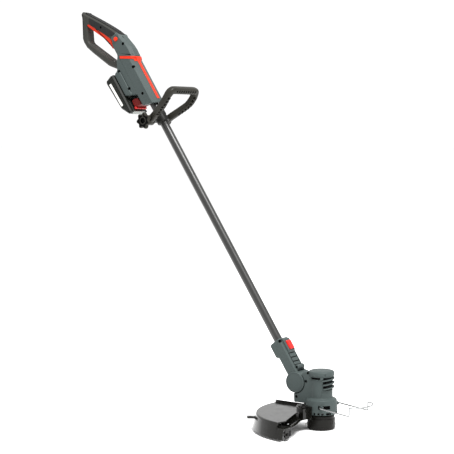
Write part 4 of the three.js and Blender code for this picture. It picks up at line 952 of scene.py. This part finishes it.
def head():
    """The motor's barrel, neck, fins and vents, and the wire guard's pivots."""
    barrel = lathe([(0, 38), (38.6, 38), (40, 38.8), (40.5, 41), (38.6, 71.5), (37.6, 74), (35.5, 75.6),
                    (29.6, 77), (28.3, 78.4), (28, 80.5), (28, 121), (28.8, 123.2), (30.4, 124.4), (31, 126),
                    (31, CAP_SEAT), (0, CAP_SEAT)], 128)
    neck = keep(soft_plate(NECK, 3, 24, 2, 1.4), block((-100, -50, 0), (0, 50, 142)))
    neck = cut(neck, rod_z(32.3, CAP_SEAT, 200, sides=96))
    room_near = rod_y(HINGE_ROOM, -THROUGH, -15, *HINGE, 96)
    room_far = rod_y(HINGE_ROOM, 15, THROUGH, *HINGE, 96)
    collar_room = cut(rod_y(HINGE_ROOM, -THROUGH, THROUGH, *HINGE, 96),
                      rod_y(DISC, -THROUGH, THROUGH, *HINGE, 96))
    above = keep(collar_room, block((-200, -THROUGH, HINGE[1]), (HINGE[0] + 12, THROUGH, 300)))
    whole = join(cut(join(barrel, neck), room_near, room_far, above), rod_y(DISC, -15, 15, *HINGE, 96, 0.5))
    fins = [sector(22, 32.6, -56 + 2 * k, 32, z, z + 3.2, 22, 5.5) for k, z in enumerate((120.5, 110, 99.5))]
    mouth = sector(24.5, 45, -52, 34, 98, 130.5)
    slots = []
    for first in (-72, 27):
        angles = [radians(a) for a in range(first, first + 47, 3)]
        slots.append(sweep([(39 * cos(a), 39 * sin(a), 57.5) for a in angles], circle(4.6, 24)))
    vents = [sector(34, 50, a - w / 2, a + w / 2, 39, 44.6, 6) for a, w in VENTS]
    window = sector(27, 40, -118, -66, 125.6, 130.6, 16)
    grooves = [sector(27.2, 40, a - 0.9, a + 0.9, 79, 98, 3) for a in (-59, 59)]
    holes = [rod_y(radius, -THROUGH, floor, x, z, 28) for x, z, radius, floor, _ in HEAD_SCREWS]
    bores = [rod_z(25.4, 53, CAP_SEAT - 3, sides=96), rod_z(35.5, 30, 49, sides=96),
             rod_z(9, 0, 100, sides=40)]
    whole = cut(whole, *bores, mouth, *slots, window, *vents, *grooves, *holes,
                rod_y(PIN_HOLE, -30, 30, *HINGE))
    pivots = [rod_y(4.6, *ends, *WIRE_PIVOT, 28, 0.6) for ends in ((-41, -36), (36, 43.5))]
    return cut(join(whole, *fins, *pivots), rod_y(2.0, -THROUGH, THROUGH, *WIRE_PIVOT, 24))


def in_head_gap(point):
    """Screw holes, vents, slots, the window and the gap round the hinge discs, all painted near-black as
    shade.
    """
    off = hypot(point.x - HINGE[0], point.z - HINGE[1])
    if 25.8 < off < 28.6 and 14.6 < abs(point.y) < 23.6:
        return True
    if point.y < -15.2 and any(in_hole(point, x, z, 3.7, half) for x, z, _, _, half in HEAD_SCREWS):
        return True
    radius = hypot(point.x, point.y)
    return point.x > -62 and ((39 < point.z < 44.7 and radius < 39.4) or (53 < point.z < 62 and radius < 39)
                              or (125.6 < point.z < 130.6 and radius < 28 and point.x < 14))


housing_pair(head(), "motor_shell", "motor_housing", "head", HEAD, (RECESS_SHADE, in_head_gap))
cap = lathe([(0, 133), (31.4, 133), (32, 133.8), (32, 140), (31.4, 142), (29.8, 143.8), (26, 145.2),
             (18, 145.9), (0, 146)], 128)
cap = cut(cap, *[sector(30.8, 40, a - 4, a + 4, 132, 139.5, 5) for a in (-44, 46, 136, 226)])
piece(cap, "motor_cap_dome", "head", HEAD, HOUSING, ["motor_cap"])

# ---------------- spool
SPOOL_RADIUS = 34.5
SPOOL_BORE = 32.5
LATCHES = (-13, 77, 167, 257)
bell = lathe([(0, 5.4), (SPOOL_RADIUS, 5.4), (SPOOL_RADIUS, 26.2), (33.9, 26.9), (33, 27.4), (33, 33),
              (32.2, 34.6), (30, 36), (0, 36)], 112)
bell = cut(bell, rod_z(SPOOL_BORE, 0, 33, sides=96), rod_z(2.8, 0, 60),
           *[sector(33.6, 40, a - 7, a + 7, 14, 24, 6) for a in LATCHES])
latches = [sector(32, 34.3, a - 5.6, a + 5.6, 15, 22.6, 6) for a in LATCHES]
bell = join(bell, *latches)
piece(bell, "spool_bell", "spinner", HEAD, SPOOL, ["spool_housing"])
foot_cap = lathe([(0, 0.6), (9, 0.6), (10, 0), (31, 0), (33.4, 0.9), (SPOOL_RADIUS, 3), (SPOOL_RADIUS, 5),
                  (0, 5)], 112)
foot_cap = cut(foot_cap, rod_z(SPOOL_BORE, 2.6, 60, sides=96),
               *[sector(14, 27, a, a + 22, -1, 0.7, 6) for a in range(0, 360, 45)])
piece(foot_cap, "spool_foot", "spinner", HEAD, SPOOL, ["spool_cap"])

# ---------------- guard
GUARD_MIDDLE = (31.5, 6.5)
GUARD_RADIUS = 193.2
SKIRT_START, SKIRT_END = 170.5, 255.5
LOW_START, LOW_END = 254.8, 262
PLATE_LOW, PLATE_HIGH = 40.6, 43
FLANGE_LOW, FLANGE_HIGH = 27.6, 30
SKIRT_FOOT = [(6.8, 12), (8.6, 4.8), (8.4, 4), (6.2, 4), (4.4, 12)]
FLANGE_EDGE = [(9, -160), (-2, -118), (-18, -68)]
SLEEVE_BORE = 40.8
GUARD_SCREWS = (205, 248)
HOOK_AT = 214


def guard_arc(out, start, end, count):
    """Places round the guard's middle, a distance out from its radius."""
    return arc(*GUARD_MIDDLE, GUARD_RADIUS + out, start, end, count)


def guard_section(start, end, section, steps=60):
    """A section of (out, height) carried round the guard's middle."""
    lines = [[(x, y, z) for x, y in guard_arc(out, start, end, steps)] for out, z in section]
    return rings_object(list(zip(*lines)))


def guard_block(degrees, low, high, soft=0.4):
    """A box whose X is a distance out from the guard's radius, turned to an angle."""
    obj = block((GUARD_RADIUS + low[0], *low[1:]), (GUARD_RADIUS + high[0], *high[1:]), soft)
    return moved(turned(obj, degrees), *GUARD_MIDDLE, 0)


def radial(radius, start, end, degrees, height, sides=28):
    """A rod that runs outward from the spool's axis."""
    rod = rod_z(radius, start, end, sides=sides)
    return moved(turned(turned(rod, 90, "Y"), degrees), 0, 0, height)


def guard():
    """The skirt, top plate and lower flange, and the bracket that holds them."""
    skirt = guard_section(SKIRT_START, SKIRT_END, [
        (-30, PLATE_HIGH), (-4.5, PLATE_HIGH), (-2, 42.3), (-0.6, 40.8), (0.4, 38), *SKIRT_FOOT,
        (-2, 37.6), (-3.4, 40), (-5.5, PLATE_LOW), (-30, PLATE_LOW)])
    low_skirt = guard_section(LOW_START, LOW_END, [
        (-10, FLANGE_HIGH), (0.6, FLANGE_HIGH), (2.2, 28.6), *SKIRT_FOOT, (0.6, FLANGE_LOW),
        (-10, FLANGE_LOW)], 8)
    rim = guard_arc(-28, SKIRT_START, SKIRT_END, 40)
    far_y = rim[0][1]
    top = raised([*rim, (-39, -58), (-10, -38), (-10, far_y - 5), (-60, far_y - 4)],
                 [(0, PLATE_LOW), (0, PLATE_HIGH)])
    low_rim = guard_arc(-8, LOW_START, LOW_END, 5)
    flange = raised([*low_rim, *FLANGE_EDGE, (-20, -36), (-39, -58)], [(0, FLANGE_LOW), (0, FLANGE_HIGH)])
    end = Vector(guard_arc(-1, SKIRT_END, SKIRT_END, 1)[0])
    step = raised([(end.x, end.y), (end.x - 2.4, end.y), (-41.4, -58), (-22, -34), (-18, -34), (-39, -58)],
                  [(0, FLANGE_LOW), (0, PLATE_HIGH)])
    start = guard_arc(-1, SKIRT_START, SKIRT_START, 1)[0]
    lip = raised([start, (start[0] + 6, start[1] - 2.4), (-58, far_y - 6.4), (-58, far_y - 4)],
                 [(0, PLATE_LOW), (0, 49)])
    wall = guard_block(LOW_END, (-19, -2.4, 4), (-5, 0, FLANGE_HIGH))
    hook = cut(guard_block(HOOK_AT, (-1, -7, 27), (21.5, 7, 33), 1.2),
               guard_block(HOOK_AT, (10, -3, 20), (40, 3, 40)))
    sleeve = cut(sector(36, 44.8, 138, 266, FLANGE_LOW, 59.5, 40), rod_z(SLEEVE_BORE, 0, 100, sides=112))
    bracket = cut(sector(36, 62, 194, 254, FLANGE_LOW, 55), rod_z(SLEEVE_BORE, 0, 100, sides=112))
    pockets = [sector(48.5, 58.5, a, a + 9, 46, 60, 5) for a in (213, 225.5, 237)]
    rooms = [radial(radius, first, 100, a, 55)
             for radius, first in ((4.0, 44.8), (2, 0)) for a in GUARD_SCREWS]
    # Stiffening ribs over the lower flange, and the kerb along its edge
    ribs = []
    for k in range(7):
        along = Vector((-21, -64)).lerp(Vector((3, -165)), k / 6)
        inner = along + Vector((-12 - 1.2 * k, -3))
        across = (inner - along).normalized()
        normal = Vector((-across.y, across.x)) * 0.9
        outline = [tuple(p) for p in (along + normal, inner + normal, inner - normal, along - normal)]
        ribs.append(raised(outline, [(0, 29), (0, 33.5)]))
    kerb = raised([*FLANGE_EDGE, (-20.2, -68), (-4.2, -118.6), (6.8, -160.5)], [(0, 29), (0, 34.5)])
    whole = join(skirt, low_skirt, top, flange, step, lip, wall, hook, sleeve, bracket, kerb, *ribs)
    return cut(whole, *pockets, *rooms, guard_block(LOW_END, (-14, -20, 13), (-10, 20, 17), 0),
               rod_z(1.6, 38, 60, -74, -117, 20))


piece(guard(), "debris_guard", "head", HEAD, GUARD, ["guard"], sharp=28)
flange_screw = lathe([(0, 29.5), (1.6, 29.5), (3.2, 30.6), (3.2, 31.2), (2.6, 31.8), (0, 32)], 40)
flange_screw = cut(flange_screw, block((-2, -0.4, 31.2), (2, 0.4, 40)), block((-0.4, -2, 31.2), (0.4, 2, 40)))
moved(flange_screw, -16, -133, 0)
piece(flange_screw, "flange_screw", "head", HEAD, STEEL)

# ---------------- wire guard
WIRE = 1.8
WIRE_HALF = 47.7
NOSE_X, NOSE_RISE = 105, 69
pivot_x, pivot_z = WIRE_PIVOT
side_path = [Vector((x, y, z)) for x, y, z in (
    (pivot_x, 26, pivot_z), (pivot_x, WIRE_HALF, pivot_z), (NOSE_X, WIRE_HALF, 48),
    (NOSE_X, WIRE_HALF, NOSE_RISE))]
nose_angles = [radians(80 - 20 * k) for k in range(9)]
nose_path = [Vector((NOSE_X + 31 * cos(a), WIRE_HALF * sin(a), NOSE_RISE)) for a in nose_angles]


def round_path(points, radius, steps=6):
    """A path with its corners rounded."""
    result = [points[0]]
    shares = [k / steps for k in range(steps + 1)]
    for before, here, after in zip(points, points[1:], points[2:]):
        reach = min(radius, (before - here).length * 0.45, (after - here).length * 0.45)
        a = here + (before - here).normalized() * reach
        b = here + (after - here).normalized() * reach
        result += [a * (1 - t) ** 2 + here * 2 * t * (1 - t) + b * t * t for t in shares]
    return result + [points[-1]]


wire = sweep(round_path(side_path + nose_path + mirrored(side_path), 4.5), circle(WIRE, 20))
piece(wire, "edge_wire_rod", "edge_wire", HEAD, STEEL, ["wire_guard"])

# ---------------- camera, floor and light
camera_data = bpy.data.cameras.new("camera")
camera_data.lens = 112.29
camera_data.sensor_width = 36
camera_data.clip_end = 60
camera = linked("camera", camera_data)
camera.location = (2.40036, -3.02126, -0.25973)
look = Vector((-0.5544, 0.8293, -0.0696))
camera.rotation_euler = look.to_track_quat("-Z", "Y").to_euler()
bpy.context.scene.camera = camera

FLOOR = -1.0042
SPREAD = 60
floor = mesh_object("floor", [(x, y, FLOOR) for x, y in (
    (-SPREAD, -SPREAD), (SPREAD, -SPREAD), (SPREAD, SPREAD), (-SPREAD, SPREAD))], [(0, 1, 2, 3)])
pale = Nodes("studio_floor")
pale.to("Base Color", pale.blended(pale.noise(3), (0.955, 0.955, 0.955, 1), (0.965, 0.965, 0.965, 1)))
pale.to("Roughness", 0.9)
pale.to("Specular IOR Level", 0.1)
floor.data.materials.append(pale.material)

world = bpy.data.worlds.new("studio")
bpy.context.scene.world = world
world.use_nodes = True
background = world.node_tree.nodes["Background"]
background.inputs["Color"].default_value = (1, 1, 1, 1)
background.inputs["Strength"].default_value = 1.06
bpy.context.scene.view_settings.view_transform = "Standard"


def area_light(name, place, target, size, power):
    data = bpy.data.lights.new(name, "AREA")
    data.shape = "RECTANGLE"
    data.size, data.size_y = size
    data.energy = power
    obj = linked(name, data)
    obj.location = place
    obj.rotation_euler = (Vector(target) - Vector(place)).to_track_quat("-Z", "Y").to_euler()


MIDDLE = (0.3, 0, -0.4)
area_light("key", (2.2, -0.9, 3.4), MIDDLE, (1.6, 1.6), 300)
area_light("rim", (-2.4, 1.4, 1.8), MIDDLE, (1.4, 2.4), 45)
